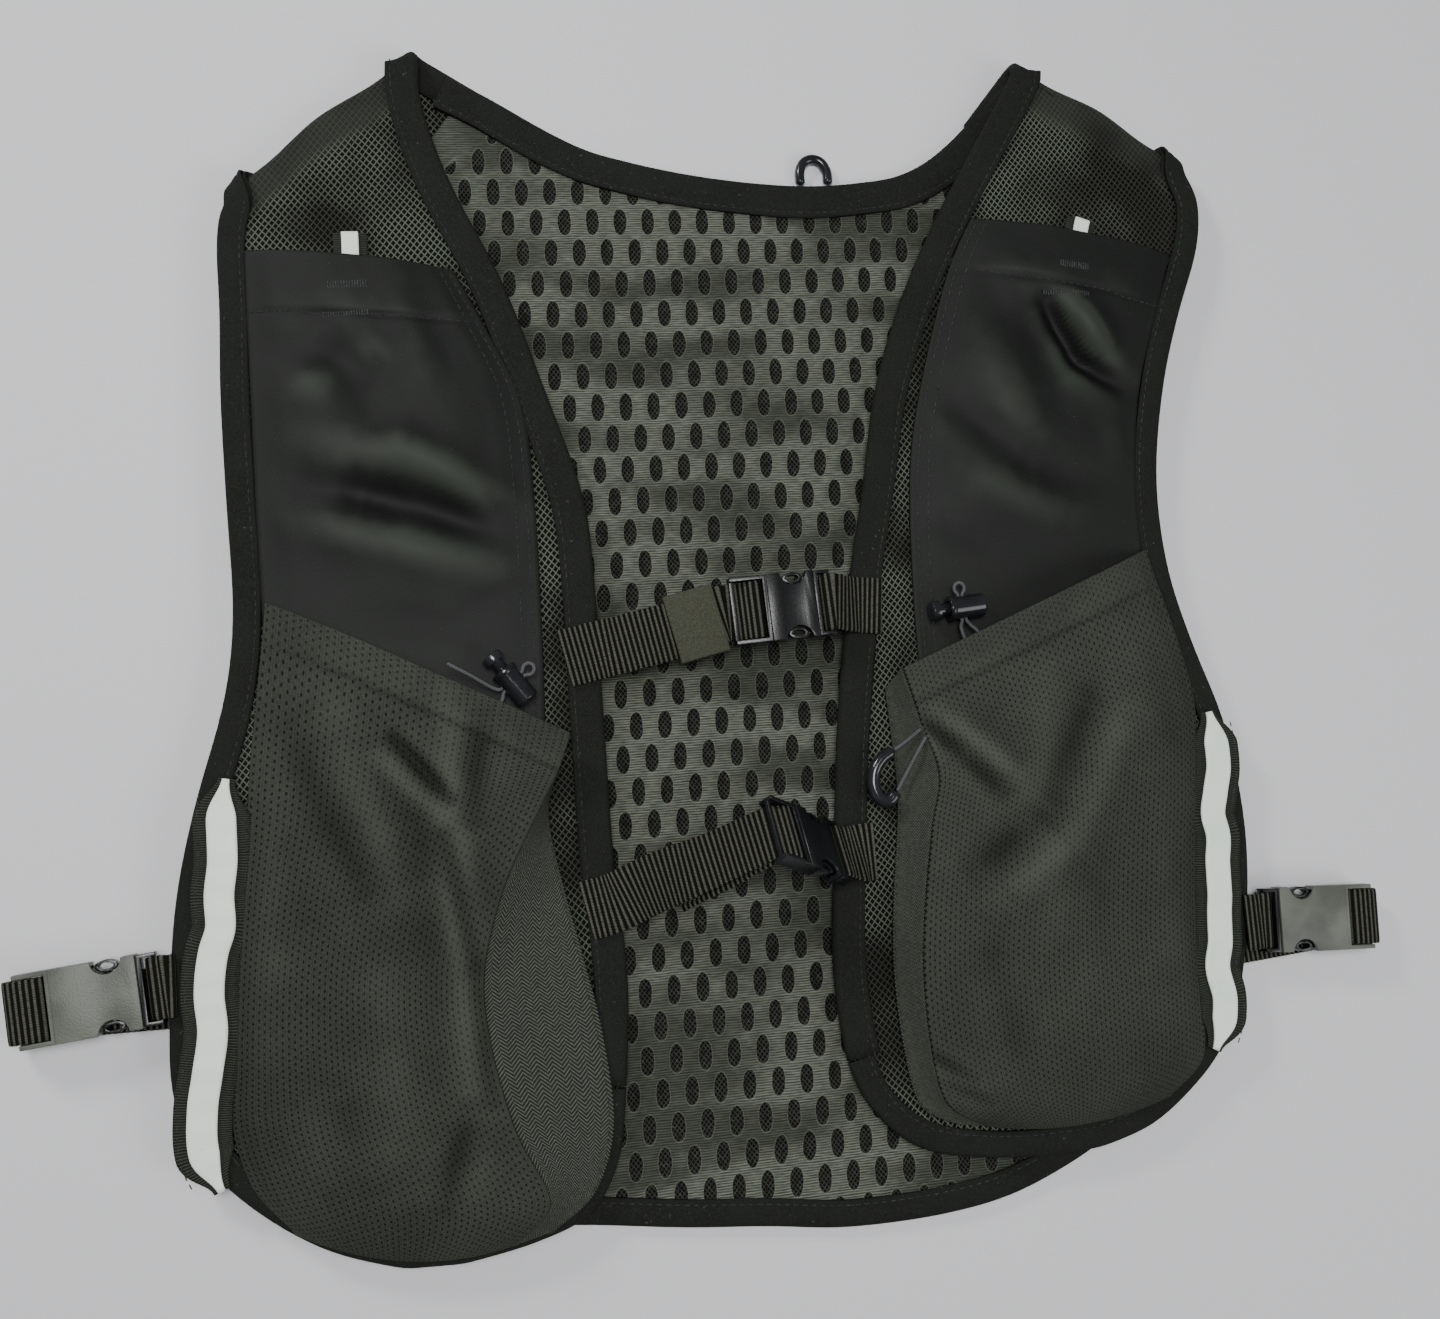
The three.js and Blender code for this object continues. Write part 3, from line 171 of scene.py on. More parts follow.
class Paint:
    def __init__(self, name, rough, shine=0.12):
        self.material = bpy.data.materials.new(name)
        self.material.use_nodes = True
        self.tree = self.material.node_tree
        self.shader = self.tree.nodes["Principled BSDF"]
        self.shader.inputs["Roughness"].default_value = rough
        self.shader.inputs["Specular IOR Level"].default_value = shine

    def node(self, kind, settings=None, values=None, out=0):
        node = self.tree.nodes.new(kind)
        for key, value in (settings or {}).items():
            setattr(node, key, value)
        for key, value in (values or {}).items():
            if isinstance(value, Field):
                self.tree.links.new(value.socket, node.inputs[key])
            else:
                node.inputs[key].default_value = value
        return Field(self.tree, node.outputs[out])

    def place(self):  # millimetres in the frame
        point = self.node("ShaderNodeTexCoord", out=3)
        split = self.node("ShaderNodeSeparateXYZ", values={0: point})
        return [Field(self.tree, socket) * 1000 for socket in split.socket.node.outputs]

    def cloth(self):  # millimetres across and along the cloth, from its own map
        point = self.node("ShaderNodeUVMap", {"uv_map": "cloth"})
        split = self.node("ShaderNodeSeparateXYZ", values={0: point})
        return [Field(self.tree, socket) * 1000 for socket in split.socket.node.outputs[:2]]

    def near(self, x, y, z=0.0):
        return self.node("ShaderNodeCombineXYZ", values={0: x, 1: y, 2: z})

    def noise(self, scale, detail, vector=None):
        if vector is None:
            vector = self.node("ShaderNodeTexCoord", out=3)
        values = {"Scale": scale, "Detail": detail, "Roughness": 0.5, "Vector": vector}
        return self.node("ShaderNodeTexNoise", {"noise_dimensions": "3D"}, values)

    def step(self, value, low, high):
        values = {0: value, 1: low, 2: high, 3: 0, 4: 1}
        return self.node("ShaderNodeMapRange", {"interpolation_type": "SMOOTHSTEP", "clamp": True}, values)

    def attribute(self, name):
        return self.node("ShaderNodeAttribute", {"attribute_name": name}, out=2)

    def mix(self, share, first, second):
        first, second = [v if isinstance(v, Field) else (*v, 1) for v in (first, second)]
        return self.node("ShaderNodeMix", {"data_type": "RGBA"}, {0: share, 6: first, 7: second}, out=2)

    def blend(self, value, low, high, first, second):
        return self.mix(self.step(value, low, high), first, second)

    def use(self, colour, height=None, strength=0.0, distance=0.0, **links):
        links["Base Color"] = colour
        if height is not None:  # the distance is in millimetres
            values = {"Height": height, "Strength": strength, "Distance": distance / 1000}
            links["Normal"] = self.node("ShaderNodeBump", values=values)
        for name, value in links.items():
            self.tree.links.new(value.socket, self.shader.inputs[name])
        return self.material


def rgb(red, green, blue):  # a colour as a screen shows it, made linear
    values = [v / 255 for v in (red, green, blue)]
    return tuple(v / 12.92 if v <= 0.04045 else ((v + 0.055) / 1.055) ** 2.4 for v in values)


# Colours of the finishes, as the screen shows them.
colours = {
    "binding": ((26, 28, 26), (39, 41, 37)),
    # net: the holes' near black is painted shadow under the net, the second shade is the threads
    "net": ((12, 13, 11), (96, 103, 90)),
    # spacer: the body tone, and a lighter tone that the rib crests and oval rims take as painted highlight
    "spacer": ((56, 59, 52), (122, 126, 114)),
    # spacerHole: near black in the ovals' wells as painted shade, lighter for the inner mesh's threads
    "spacerHole": ((7, 7, 7), (74, 76, 68)),
    "smooth": ((18, 20, 18), (31, 34, 30)),
    "knit": ((46, 49, 44), (68, 72, 64)),
    "gusset": ((42, 45, 40), (96, 100, 90)),
    "webbing": ((14, 14, 12), (104, 105, 93)),
    "keeper": ((56, 57, 48), (86, 88, 74)),
    "grosgrain": ((34, 36, 31), (64, 68, 60)),
    "reflective": ((238, 252, 238), (248, 255, 246)),
    "plate": ((78, 82, 74), (104, 109, 99)),
    "frame": ((13, 14, 15), (22, 23, 25)),
    "gloss": ((26, 27, 29), (40, 42, 46)),
    "elastic": ((74, 75, 76), (104, 106, 108)),
    "thread": ((48, 49, 50), (76, 77, 76)),
}


# Pitches of the weaves, ribs and holes, in millimetres.
pitches = {
    "net": (1.75, 1.6), "spacerRib": 0.85, "spacerNet": 1.5, "knit": (1.7, 2.1), "yarn": (0.7, 0.5),
    "herringbone": 1.9, "twill": 0.95, "webbing": 1.75, "twist": 1.7, "keeper": (0.75, 0.6),
    "grosgrain": 0.75, "braid": 1.1,
}


def tint(name):
    return [rgb(*shade) for shade in colours[name]]


def bindingCloth():
    paint = Paint("bindingCloth", rough=0.88)
    x, y = paint.place()[:2]
    grain = paint.noise(1900, 2)
    lint = paint.step(paint.noise(900, 1), 0.74, 0.8)
    dark, light = tint("binding")
    colour = paint.blend(grain, 0.3, 0.75, dark, light)
    colour = paint.mix(lint * 0.5, colour, rgb(96, 97, 96))
    worn = paint.noise(60, 3)
    colour = paint.mix(paint.step(worn, 0.35, 0.7) * 0.35, colour, light)
    weave = ((x + y) * 9.0).wave() * ((x - y) * 9.0).wave()
    height = grain * 0.7 + weave * 0.2 + worn
    return paint.use(colour, height, 0.35, 0.3)


def netCloth():
    paint = Paint("netCloth", rough=0.8)
    x, y = paint.place()[:2]
    wobble = paint.noise(130, 1) * 0.35
    pitchA, pitchB = pitches["net"]
    across = (x * 0.72 + y * 0.69) / pitchA + wobble
    along = (x * -0.8 + y * 0.6) / pitchB + wobble
    threadA, threadB = [1 - paint.step(abs(way.part() - 0.5), 0.06, 0.19) for way in (across, along)]
    dense = paint.attribute("dense")
    thread = threadA.most(threadB).most(dense * 0.55)
    # The holes are filled with near black at alpha 0.8: painted shadow under the net.
    hole, light = tint("net")
    lit = paint.blend(paint.noise(30, 2), 0.35, 0.65, rgb(52, 52, 46), light)
    lit = paint.mix(dense * 0.75, lit, rgb(40, 41, 38))
    height = thread + (threadA - threadB) * 0.2
    return paint.use(paint.mix(thread, hole, lit), height, 0.6, 0.3, Alpha=0.8 + thread * 0.2)


# The spacer fabric's ovals, in staggered rows.
spacerCells = {
    "across": 9.6, "up": 10.9, "wide": 2.5, "tall": 5.2, "turn": -0.04, "x": 1.2, "y": 4.0,
    "square": 2.4, "rim": 0.62, "slope": 0.5,
}


def spacerCloth():
    paint = Paint("spacerCloth", rough=0.75)
    x, y = paint.place()[:2]
    cells = spacerCells
    y0 = y - shift[1]
    up = (y0 - cells["y"]) / cells["up"]
    across = (x - shift[0] + y0 * cells["turn"] - cells["x"]) / cells["across"] + (up.whole() * 0.5).part()
    dx = (across.part() - 0.5) * (cells["across"] / cells["wide"])
    dy = abs(up.part() - 0.5) * (cells["up"] / cells["tall"])
    wobble = paint.noise(260, 2) * 0.24 - 0.12
    reach = (dx * dx + dy.maths("POWER", dy, cells["square"])).root() + wobble
    rim = cells["rim"]
    hole = (1 - paint.step(reach, rim, rim + cells["slope"])) * paint.attribute("inside")
    ribs = (y * (2 * math.pi / pitches["spacerRib"]) + paint.noise(160, 1) * 3).wave()
    body, light = tint("spacer")
    threads = paint.noise(1.0, 2, paint.near(x * 0.25, y * 1.6))
    # The rib crests are painted lighter as painted highlight; the threads' noise adds the cloth's own uneven
    # tone.
    weave = paint.step(ribs * 0.5 + 0.5, 0.15, 0.9) * 0.6 + paint.step(threads, 0.35, 0.7) * 0.4
    lit = paint.mix(weave, body, light)
    # Broad bands painted darker: painted shade of soft folds in the spacer.
    broad = paint.step(paint.noise(1.0, 2, paint.near(x * 0.012, y * 0.04)), 0.42, 0.6)
    lit = paint.mix(broad * 0.65, lit, rgb(34, 37, 31))
    netA, netB = [(x + y * slant).ribs(pitches["spacerNet"]) for slant in (0.8, -0.8)]
    mesh = paint.step(netA.most(netB) + paint.noise(500, 1) - 0.5, 0.45, 0.95)
    # Inside the ovals the inner mesh's gaps are painted near black as shade in the wells, and glint adds
    # painted highlights on its threads.
    holeDark, holeLight = tint("spacerHole")
    glint = paint.step(paint.noise(420, 1), 0.6, 0.75)
    inner = paint.mix(mesh * (0.55 + glint * 0.45), holeDark, holeLight)
    mask = paint.step(hole, 0.35, 0.6)
    colour = paint.mix(mask, lit, inner)
    # A lighter ring at each oval's rim: painted highlight.
    edge = paint.step(abs(hole - 0.3), 0.0, 0.2)
    colour = paint.mix((1 - edge) * 0.35, colour, light)
    height = (1 - mask) * ribs * 0.35 + mask * mesh * 0.6
    return paint.use(colour, height, 0.6, 0.4)


def smoothCloth():
    paint = Paint("smoothCloth", rough=0.62, shine=0.25)
    x, y = paint.place()[:2]
    dark, light = tint("smooth")
    fine = paint.noise(1.0, 1, paint.near(x * 3.2, y * 1.2))
    broad = paint.noise(22, 3)
    colour = paint.mix(paint.step(fine, 0.3, 0.7) * 0.5 + paint.step(broad, 0.3, 0.7) * 0.5, dark, light)
    speck = paint.step(paint.noise(1400, 1), 0.76, 0.82)
    colour = paint.mix(speck * 0.4, colour, rgb(96, 100, 92))
    # Painted shade darkens the folds' hollows and painted highlight lightens their ridges.
    colour = paint.mix(paint.attribute("hollow") * 0.85, colour, rgb(5, 6, 5))
    colour = paint.mix(paint.attribute("ridge") * 0.6, colour, rgb(62, 68, 59))
    height = fine * 0.5 + paint.noise(2600, 1) * 0.4
    return paint.use(colour, height, 0.25, 0.2, Roughness=0.56 + broad * 0.14)


def knitCloth():
    paint = Paint("knitCloth", rough=0.82)
    across, along = paint.cloth()
    wide, tall = pitches["knit"]
    column = across / wide
    row = along / tall + (column.whole() * 0.5).part()
    dx, dy = (column.part() - 0.5) * wide, (row.part() - 0.5) * tall
    hole = 1 - paint.step((dx * dx / 0.09 + dy * dy / 0.2).root(), 0.6, 1.3)
    dense = paint.attribute("dense")
    hole = hole * (0.85 - dense * 0.6)
    dark, light = tint("knit")
    yarn = across.ribs(pitches["yarn"][0]) * 0.5 + along.ribs(pitches["yarn"][1]) * 0.25
    speck = paint.noise(1500, 2)
    broad = paint.noise(24, 2)
    uneven = paint.step(speck + yarn * 0.2, 0.3, 0.75) * 0.6 + paint.step(broad, 0.3, 0.7) * 0.4
    lit = paint.mix(uneven, dark, light)
    colour = paint.mix(hole, lit, rgb(9, 10, 9))
    # Painted shade darkens the folds' hollows and painted highlight lightens their ridges.
    colour = paint.mix(paint.attribute("hollow") * 0.6, colour, rgb(14, 15, 13))
    colour = paint.mix(paint.attribute("ridge") * 0.25, colour, rgb(106, 111, 100))
    return paint.use(colour, yarn * 0.25 + speck * 0.4 - hole * 1.2, 0.5, 0.3)


def gussetCloth():
    paint = Paint("gussetCloth", rough=0.85)
    across, along = paint.cloth()
    band = (across / pitches["herringbone"]).whole()
    side = (band * 0.5).part() * 4 - 1
    twill = (along + across * side * 0.9).ribs(pitches["twill"])
    speck = paint.noise(900, 2)
    dark, light = tint("gusset")
    colour = paint.blend(twill * 0.5 + speck * 0.6, 0.25, 0.85, dark, light)
    return paint.use(colour, twill * 0.5 + speck * 0.3, 0.5, 0.3)


def webbingCloth():
    paint = Paint("webbingCloth", rough=0.8)
    across, along = paint.cloth()
    ridge = paint.step(along.ribs(pitches["webbing"]), -0.3, 0.7)
    twist = (across * 3.4 + along * 1.2).ribs(pitches["twist"])
    speck = paint.noise(1100, 2)
    dark, light = tint("webbing")
    lit = paint.blend(twist * 0.35 + speck, 0.3, 0.8, rgb(60, 61, 53), light)
    return paint.use(paint.mix(ridge, dark, lit), ridge + twist * 0.15 + speck * 0.2, 0.8, 0.5)


def keeperCloth():
    paint = Paint("keeperCloth", rough=0.85)
    x, y = paint.place()[:2]
    fine = x.ribs(pitches["keeper"][0]) * y.ribs(pitches["keeper"][1])
    speck = paint.noise(1300, 2)
    dark, light = tint("keeper")
    colour = paint.blend(fine * 0.4 + speck, 0.3, 0.8, dark, light)
    return paint.use(colour, fine * 0.5 + speck * 0.4, 0.45, 0.3)


def grosgrainCloth():
    paint = Paint("grosgrainCloth", rough=0.8)
    rib = paint.cloth()[1].ribs(pitches["grosgrain"])
    speck = paint.noise(1200, 2)
    dark, light = tint("grosgrain")
    colour = paint.blend(rib * 0.5 + speck * 0.6, 0.1, 0.8, dark, light)
    return paint.use(colour, rib * 0.6 + speck * 0.3, 0.6, 0.3)


def reflectiveFilm():
    paint = Paint("reflectiveFilm", rough=0.38, shine=0.5)
    dark, light = tint("reflective")
    broad = paint.noise(90, 3)
    beads = paint.noise(2600, 1)
    wear = paint.step(paint.noise(260, 3), 0.66, 0.78)
    colour = paint.mix(wear * 0.3, paint.blend(broad, 0.3, 0.7, dark, light), rgb(168, 184, 168))
    return paint.use(colour, broad + beads * 0.15, 0.3, 0.6, Roughness=0.34 + broad * 0.2)


def mouldedPlastic(name, shades, rough, grain, scratches=0.3):
    paint = Paint(name, rough=rough, shine=0.5)
    dark, light = tint(shades)
    speck = paint.noise(1600, 2)
    broad = paint.noise(70, 2)
    x, y, z = paint.place()
    scuff = paint.step(paint.noise(1.0, 3, paint.near(x * 0.4, y * 5, z)), 0.68, 0.75)
    colour = paint.mix(scuff * scratches, paint.blend(broad, 0.3, 0.7, dark, light), rgb(110, 113, 110))
    return paint.use(colour, speck, grain, 0.15, Roughness=rough + (speck - 0.5) * 0.2 + scuff * 0.1)


def elasticCord():
    paint = Paint("elasticCord", rough=0.75)
    across, along = paint.cloth()
    across, pitch = across * 2.6, pitches["braid"]
    braid = (across + along).ribs(pitch) * (across - along).ribs(pitch)
    return paint.use(paint.blend(braid, -0.4, 0.6, *tint("elastic")), braid, 0.5, 0.2)


def sewingThread():
    paint = Paint("sewingThread", rough=0.7)
    return paint.use(paint.blend(paint.noise(1500, 1), 0.35, 0.7, *tint("thread")))


finish = {
    "binding": bindingCloth(),
    "shoulder_net": netCloth(),
    "spacer_mesh": spacerCloth(),
    "pocket_cloth": smoothCloth(),
    "pocket_knit": knitCloth(),
    "gusset": gussetCloth(),
    "webbing": webbingCloth(),
    "keeper": keeperCloth(),
    "grosgrain": grosgrainCloth(),
    "reflective": reflectiveFilm(),
    "plate": mouldedPlastic("platePlastic", "plate", 0.46, 0.9),
    "frame": mouldedPlastic("framePlastic", "frame", 0.3, 0.15),
    "gloss": mouldedPlastic("glossPlastic", "gloss", 0.16, 0.05, 0.1),
    "elastic": elasticCord(),
    "thread": sewingThread(),
}
print("finishes mixed:", len(finish))


# Meshes from arrays of points in millimetres.
def addPiece(name, points, faces, uv=None, marks=None, paint=None, slot=None, node=None, body="vest",
             flat=False):
    mesh = bpy.data.meshes.new(name)
    mesh.from_pydata(toMetres(points).tolist(), [], faces)
    if uv is not None:
        layer = mesh.uv_layers.new(name="cloth")
        corners = np.zeros(len(mesh.loops), int)
        mesh.loops.foreach_get("vertex_index", corners)
        layer.data.foreach_set("uv", (np.asarray(uv) / 1000)[corners].ravel())
    for key, values in (marks or {}).items():
        mark = mesh.attributes.new(key, "FLOAT", "POINT")
        mark.data.foreach_set("value", np.asarray(values, float).ravel())
    if not flat:
        mesh.polygons.foreach_set("use_smooth", [True] * len(mesh.polygons))
    if paint:
        mesh.materials.append(finish[paint])
    mesh.update()
    piece = bpy.data.objects.new(name, mesh)
    bpy.context.collection.objects.link(piece)
    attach(piece, body)
    if node:
        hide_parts(*([node] if isinstance(node, str) else node))
    return piece


def unit(vectors):
    return vectors / np.maximum(np.linalg.norm(vectors, axis=-1, keepdims=True), 1e-9)


def heading(path):
    return unit(np.gradient(path, axis=0))


def steps(path):
    return np.linalg.norm(np.diff(path, axis=0), axis=1)


def distances(path):
    return np.concatenate([[0], np.cumsum(steps(path))])


def gridFaces(rows, columns, start=0, flip=False):
    k = (np.arange(rows - 1)[:, None] * columns + np.arange(columns - 1)[None, :]).ravel() + start
    quads = np.stack([k, k + 1, k + columns + 1, k + columns], 1)
    return (quads[:, ::-1] if flip else quads).tolist()


# A cloth wall about a grid of points, with a rounded rim.
def shell(points, thickness):
    rows, columns = points.shape[:2]
    alongU = np.gradient(points, axis=1)
    alongV = np.gradient(points, axis=0)
    normal = unit(np.cross(alongU, alongV))
    half = np.broadcast_to(np.asarray(thickness, float), (rows, columns))[..., None] / 2
    top, bottom = points + normal * half, points - normal * half
    order = [(0, k) for k in range(columns)] + [(r, columns - 1) for r in range(1, rows)]
    order += [(rows - 1, k) for k in range(columns - 2, -1, -1)] + [(r, 0) for r in range(rows - 2, 0, -1)]
    rim = np.array(order)
    middle = points[rim[:, 0], rim[:, 1]]
    inner = points[np.clip(rim[:, 0], 1, rows - 2), np.clip(rim[:, 1], 1, columns - 2)]
    bulge = middle + unit(middle - inner) * half[rim[:, 0], rim[:, 1]] * 0.8
    count = rows * columns
    faces = gridFaces(rows, columns) + gridFaces(rows, columns, count, True)
    edge = rim[:, 0] * columns + rim[:, 1]
    after = np.roll(edge, -1)
    belt = 2 * count + np.arange(len(edge))
    beltAfter = np.roll(belt, -1)
    faces += np.stack([edge, belt, beltAfter, after], 1).tolist()
    faces += np.stack([belt, edge + count, after + count, beltAfter], 1).tolist()
    vertices = np.concatenate([top.reshape(-1, 3), bottom.reshape(-1, 3), bulge])
    return vertices, faces, rim


def sheetPiece(name, points, thickness, uv=None, marks=None, **rest):
    vertices, faces, rim = shell(points, thickness)
    def doubled(values):
        values = np.asarray(values, float)
        flatValues = values.reshape(-1, values.shape[-1]) if values.ndim == 3 else values.reshape(-1)
        return np.concatenate([flatValues, flatValues, values[rim[:, 0], rim[:, 1]]])
    uv = doubled(uv) if uv is not None else None
    marks = {key: doubled(values) for key, values in (marks or {}).items()}
    return addPiece(name, vertices, faces, uv, marks, **rest)


# Points carried along a path: a section of (across, up) pairs at every stop.
def sweptPiece(name, centres, across, up, section, **rest):
    section = np.asarray(section, float)
    if section.ndim == 2:
        section = np.broadcast_to(section, (len(centres), *section.shape))
    stops, size = section.shape[:2]
    points = centres[:, None] + across[:, None] * section[..., :1] + up[:, None] * section[..., 1:]
    run = distances(centres)
    uv = np.stack([section[..., 0], np.broadcast_to(run[:, None], (stops, size))], 2)
    k = np.arange(stops - 1)[:, None] * size
    i = np.arange(size)[None, :]
    j = (i + 1) % size
    quads = np.stack([k + i, k + size + i, k + size + j, k + j], 2).reshape(-1, 4)
    faces = [*quads.tolist(), list(range(size)), [(stops - 1) * size + n for n in range(size - 1, -1, -1)]]
    wide, tall = section[0].T
    area = 0.5 * np.sum(wide * np.roll(tall, -1) - tall * np.roll(wide, -1))
    along = centres[1] - centres[0]
    if area * np.dot(np.cross(across[0], up[0]), along) < 0:
        faces = [face[::-1] for face in faces]
    return addPiece(name, points.reshape(-1, 3), faces, uv.reshape(-1, 2), **rest)


def smoothPath(points, step):  # a curve through the points, cut into even steps
    points = np.asarray(points, float)
    before = np.vstack([2 * points[0] - points[1], points, 2 * points[-1] - points[-2]])
    pieces = []
    for k in range(len(points) - 1):
        a, b, c, d = before[k:k + 4]
        knots = [0]
        for p, q in ((a, b), (b, c), (c, d)):
            knots.append(knots[-1] + max(np.linalg.norm((q - p)[:3]), 1e-6) ** 0.5)
        t = np.linspace(knots[1], knots[2], 24, endpoint=False)[:, None]
        ab = a + (b - a) * (t - knots[0]) / (knots[1] - knots[0])
        bc = b + (c - b) * (t - knots[1]) / (knots[2] - knots[1])
        cd = c + (d - c) * (t - knots[2]) / (knots[3] - knots[2])
        abc = ab + (bc - ab) * (t - knots[0]) / (knots[2] - knots[0])
        bcd = bc + (cd - bc) * (t - knots[1]) / (knots[3] - knots[1])
        pieces.append(abc + (bcd - abc) * (t - knots[1]) / (knots[2] - knots[1]))
    fine = np.vstack(pieces + [points[-1:]])
    if fine.shape[1] == 3:
        return evenly(fine, step)
    return evenly(fine[:, :3], step, fine[:, 3:])


def evenly(points, step, *others):
    run = distances(points)
    count = max(int(round(run[-1] / step)), 2)
    at = np.linspace(0, run[-1], count + 1)
    cut = [np.stack([np.interp(at, run, array[:, k]) for k in range(3)], 1) for array in (points, *others)]
    return cut if others else cut[0]


def clamp(value, low, high):
    return np.minimum(high, np.maximum(low, value))


def smoothStep(value):
    share = clamp(value, 0, 1)
    return share * share * (3 - 2 * share)


# A gentle unevenness of the given wavelength, from -1 to 1.
def ripple(x, y, size, seed):
    total = 0
    for k in range(5):
        turn = seed * 1.7 + k * 2.4
        pitch = 2 * math.pi / (size * (0.7 + 0.17 * k))
        total = total + np.sin((x * math.cos(turn) + y * math.sin(turn)) * pitch + seed * 3.1 + k * 1.9)
    return total / 5


# Folds and ridges: each row is from x, y to x, y, then the width and the height in millimetres.
def folds(x, y, rows):
    total = np.zeros_like(x)
    for x0, y0, x1, y1, width, height in rows:
        dx, dy = x1 - x0, y1 - y0
        length2 = dx * dx + dy * dy
        t = ((x - x0) * dx + (y - y0) * dy) / length2
        share = clamp(t, 0, 1)
        away = np.hypot(x - x0 - share * dx, y - y0 - share * dy)
        taper = 0.35 + 0.65 * np.sin(np.pi * clamp(share, 0.02, 0.98)) ** 0.5
        total += height * np.exp(-((away / width) ** 2)) * taper
    return total


# Sewn dashes along a line of points, a little proud of the cloth.
stitchShape = {"pitch": 3.0, "length": 2.1, "width": 0.42, "height": 0.3}


def stitches(name, points, up, pitch=None, length=None, width=None, slot="binding"):
    pitch, length = pitch or stitchShape["pitch"], length or stitchShape["length"]
    width, height = width or stitchShape["width"], stitchShape["height"]
    ups = np.broadcast_to(np.asarray(up, float), points.shape).copy()
    centres, ups = evenly(points, pitch, ups)
    along = heading(centres)
    side = unit(np.cross(along, ups))
    ups = unit(np.cross(side, along))
    corners = [(-0.5, 0, -0.2), (-0.3, 0.5, 0), (0.3, 0.5, 0), (0.5, 0, -0.2), (0.3, -0.5, 0),
               (-0.3, -0.5, 0), (-0.25, 0, 1), (0.25, 0, 1)]
    shape = np.array(corners) * (length, width, height)
    vertices = (centres[:, None] + along[:, None] * shape[None, :, :1] + side[:, None] * shape[None, :, 1:2]
                + ups[:, None] * shape[None, :, 2:])
    pattern = [(0, 6, 5), (1, 6, 0), (1, 2, 7, 6), (2, 3, 7), (3, 4, 7), (4, 5, 6, 7), (0, 5, 4, 3, 2, 1)]
    faces = [[k * 8 + c for c in face] for k in range(len(centres)) for face in pattern]
    return addPiece(name, vertices.reshape(-1, 3), faces, paint="thread", slot=slot, flat=True)


# The vest's own measures, in millimetres and in percent of its half width and height.
vest = {
    "halfWidth": 180, "height": 400, "cloth": 1.2, "gap": 0.3, "spacer": 3, "bindingWall": 1,
    "bindingWidth": 9, "frontBindingWidth": 11, "neckBindingWidth": 12, "seamInset": 2.4, "floorGap": 0.05,
    "foldRadius": 3.2, "shoulderReturn": 24, "foldBulge": 2.2, "bulgeStart": 0.17, "hemDrop": 1,
    "drape": 0.6, "seamSplit": 0.03, "spacerRamp": 8, "upperDepth": 6.5, "bottleDepth": 13,
}
bindingHalf = vest["bindingWall"] + vest["gap"] + vest["cloth"] / 2
backMiddle = vest["floorGap"] + bindingHalf
shoulderTop = backMiddle + 2 * vest["foldRadius"]
overBinding = bindingHalf + vest["gap"] + vest["cloth"] / 2
overPanel = vest["cloth"] + vest["gap"]


percent = np.array([vest["halfWidth"], vest["height"]]) / 100
sides = ("left", "right")


def table(columns, rows):
    return dict(zip(columns.split(), np.array(rows, float).T))


def column(rows, name, row):  # a column at fractional row numbers, smooth through the rows
    values = rows[name]
    last = len(values) - 1
    row = np.asarray(row, float)
    k = clamp(np.floor(row), 0, last - 1).astype(int)
    t = row - k
    a, b, c, d = [values[np.clip(k + i, 0, last)] for i in (-1, 0, 1, 2)]
    return b + 0.5 * t * (c - a + t * (2 * a - 5 * b + 4 * c - d + t * (3 * (b - c) + d - a)))


def profileAt(rows, key, name, share):
    keys = rows[key]
    share = np.asarray(share, float)
    k = np.clip(np.searchsorted(keys, share, side="right") - 1, 0, len(keys) - 2)
    return column(rows, name, k + clamp((share - keys[k]) / (keys[k + 1] - keys[k]), 0, 1))


def edgeAt(rows, side, row):
    return np.stack([column(rows, side + "X", row), column(rows, side + "Y", row)], -1) * percent


def frontMiddle(x, y):
    towardsHem = smoothStep(-y / (vest["height"] / 2))
    wave = np.sin(x / (0.21 * vest["halfWidth"]) + 1.3) * np.sin(y / (0.12 * vest["height"]) + 0.6)
    calm = 1 - smoothStep(y / (0.2 * vest["height"]) - 1)
    return shoulderTop - vest["hemDrop"] * towardsHem + vest["drape"] * calm * wave


def onFront(flat, height=0.0):
    return np.stack([flat[..., 0], flat[..., 1], frontMiddle(flat[..., 0], flat[..., 1]) + height], -1)


def spot(percentX, percentY, height):
    return np.array([*(percent * (percentX, percentY)), shoulderTop + height])


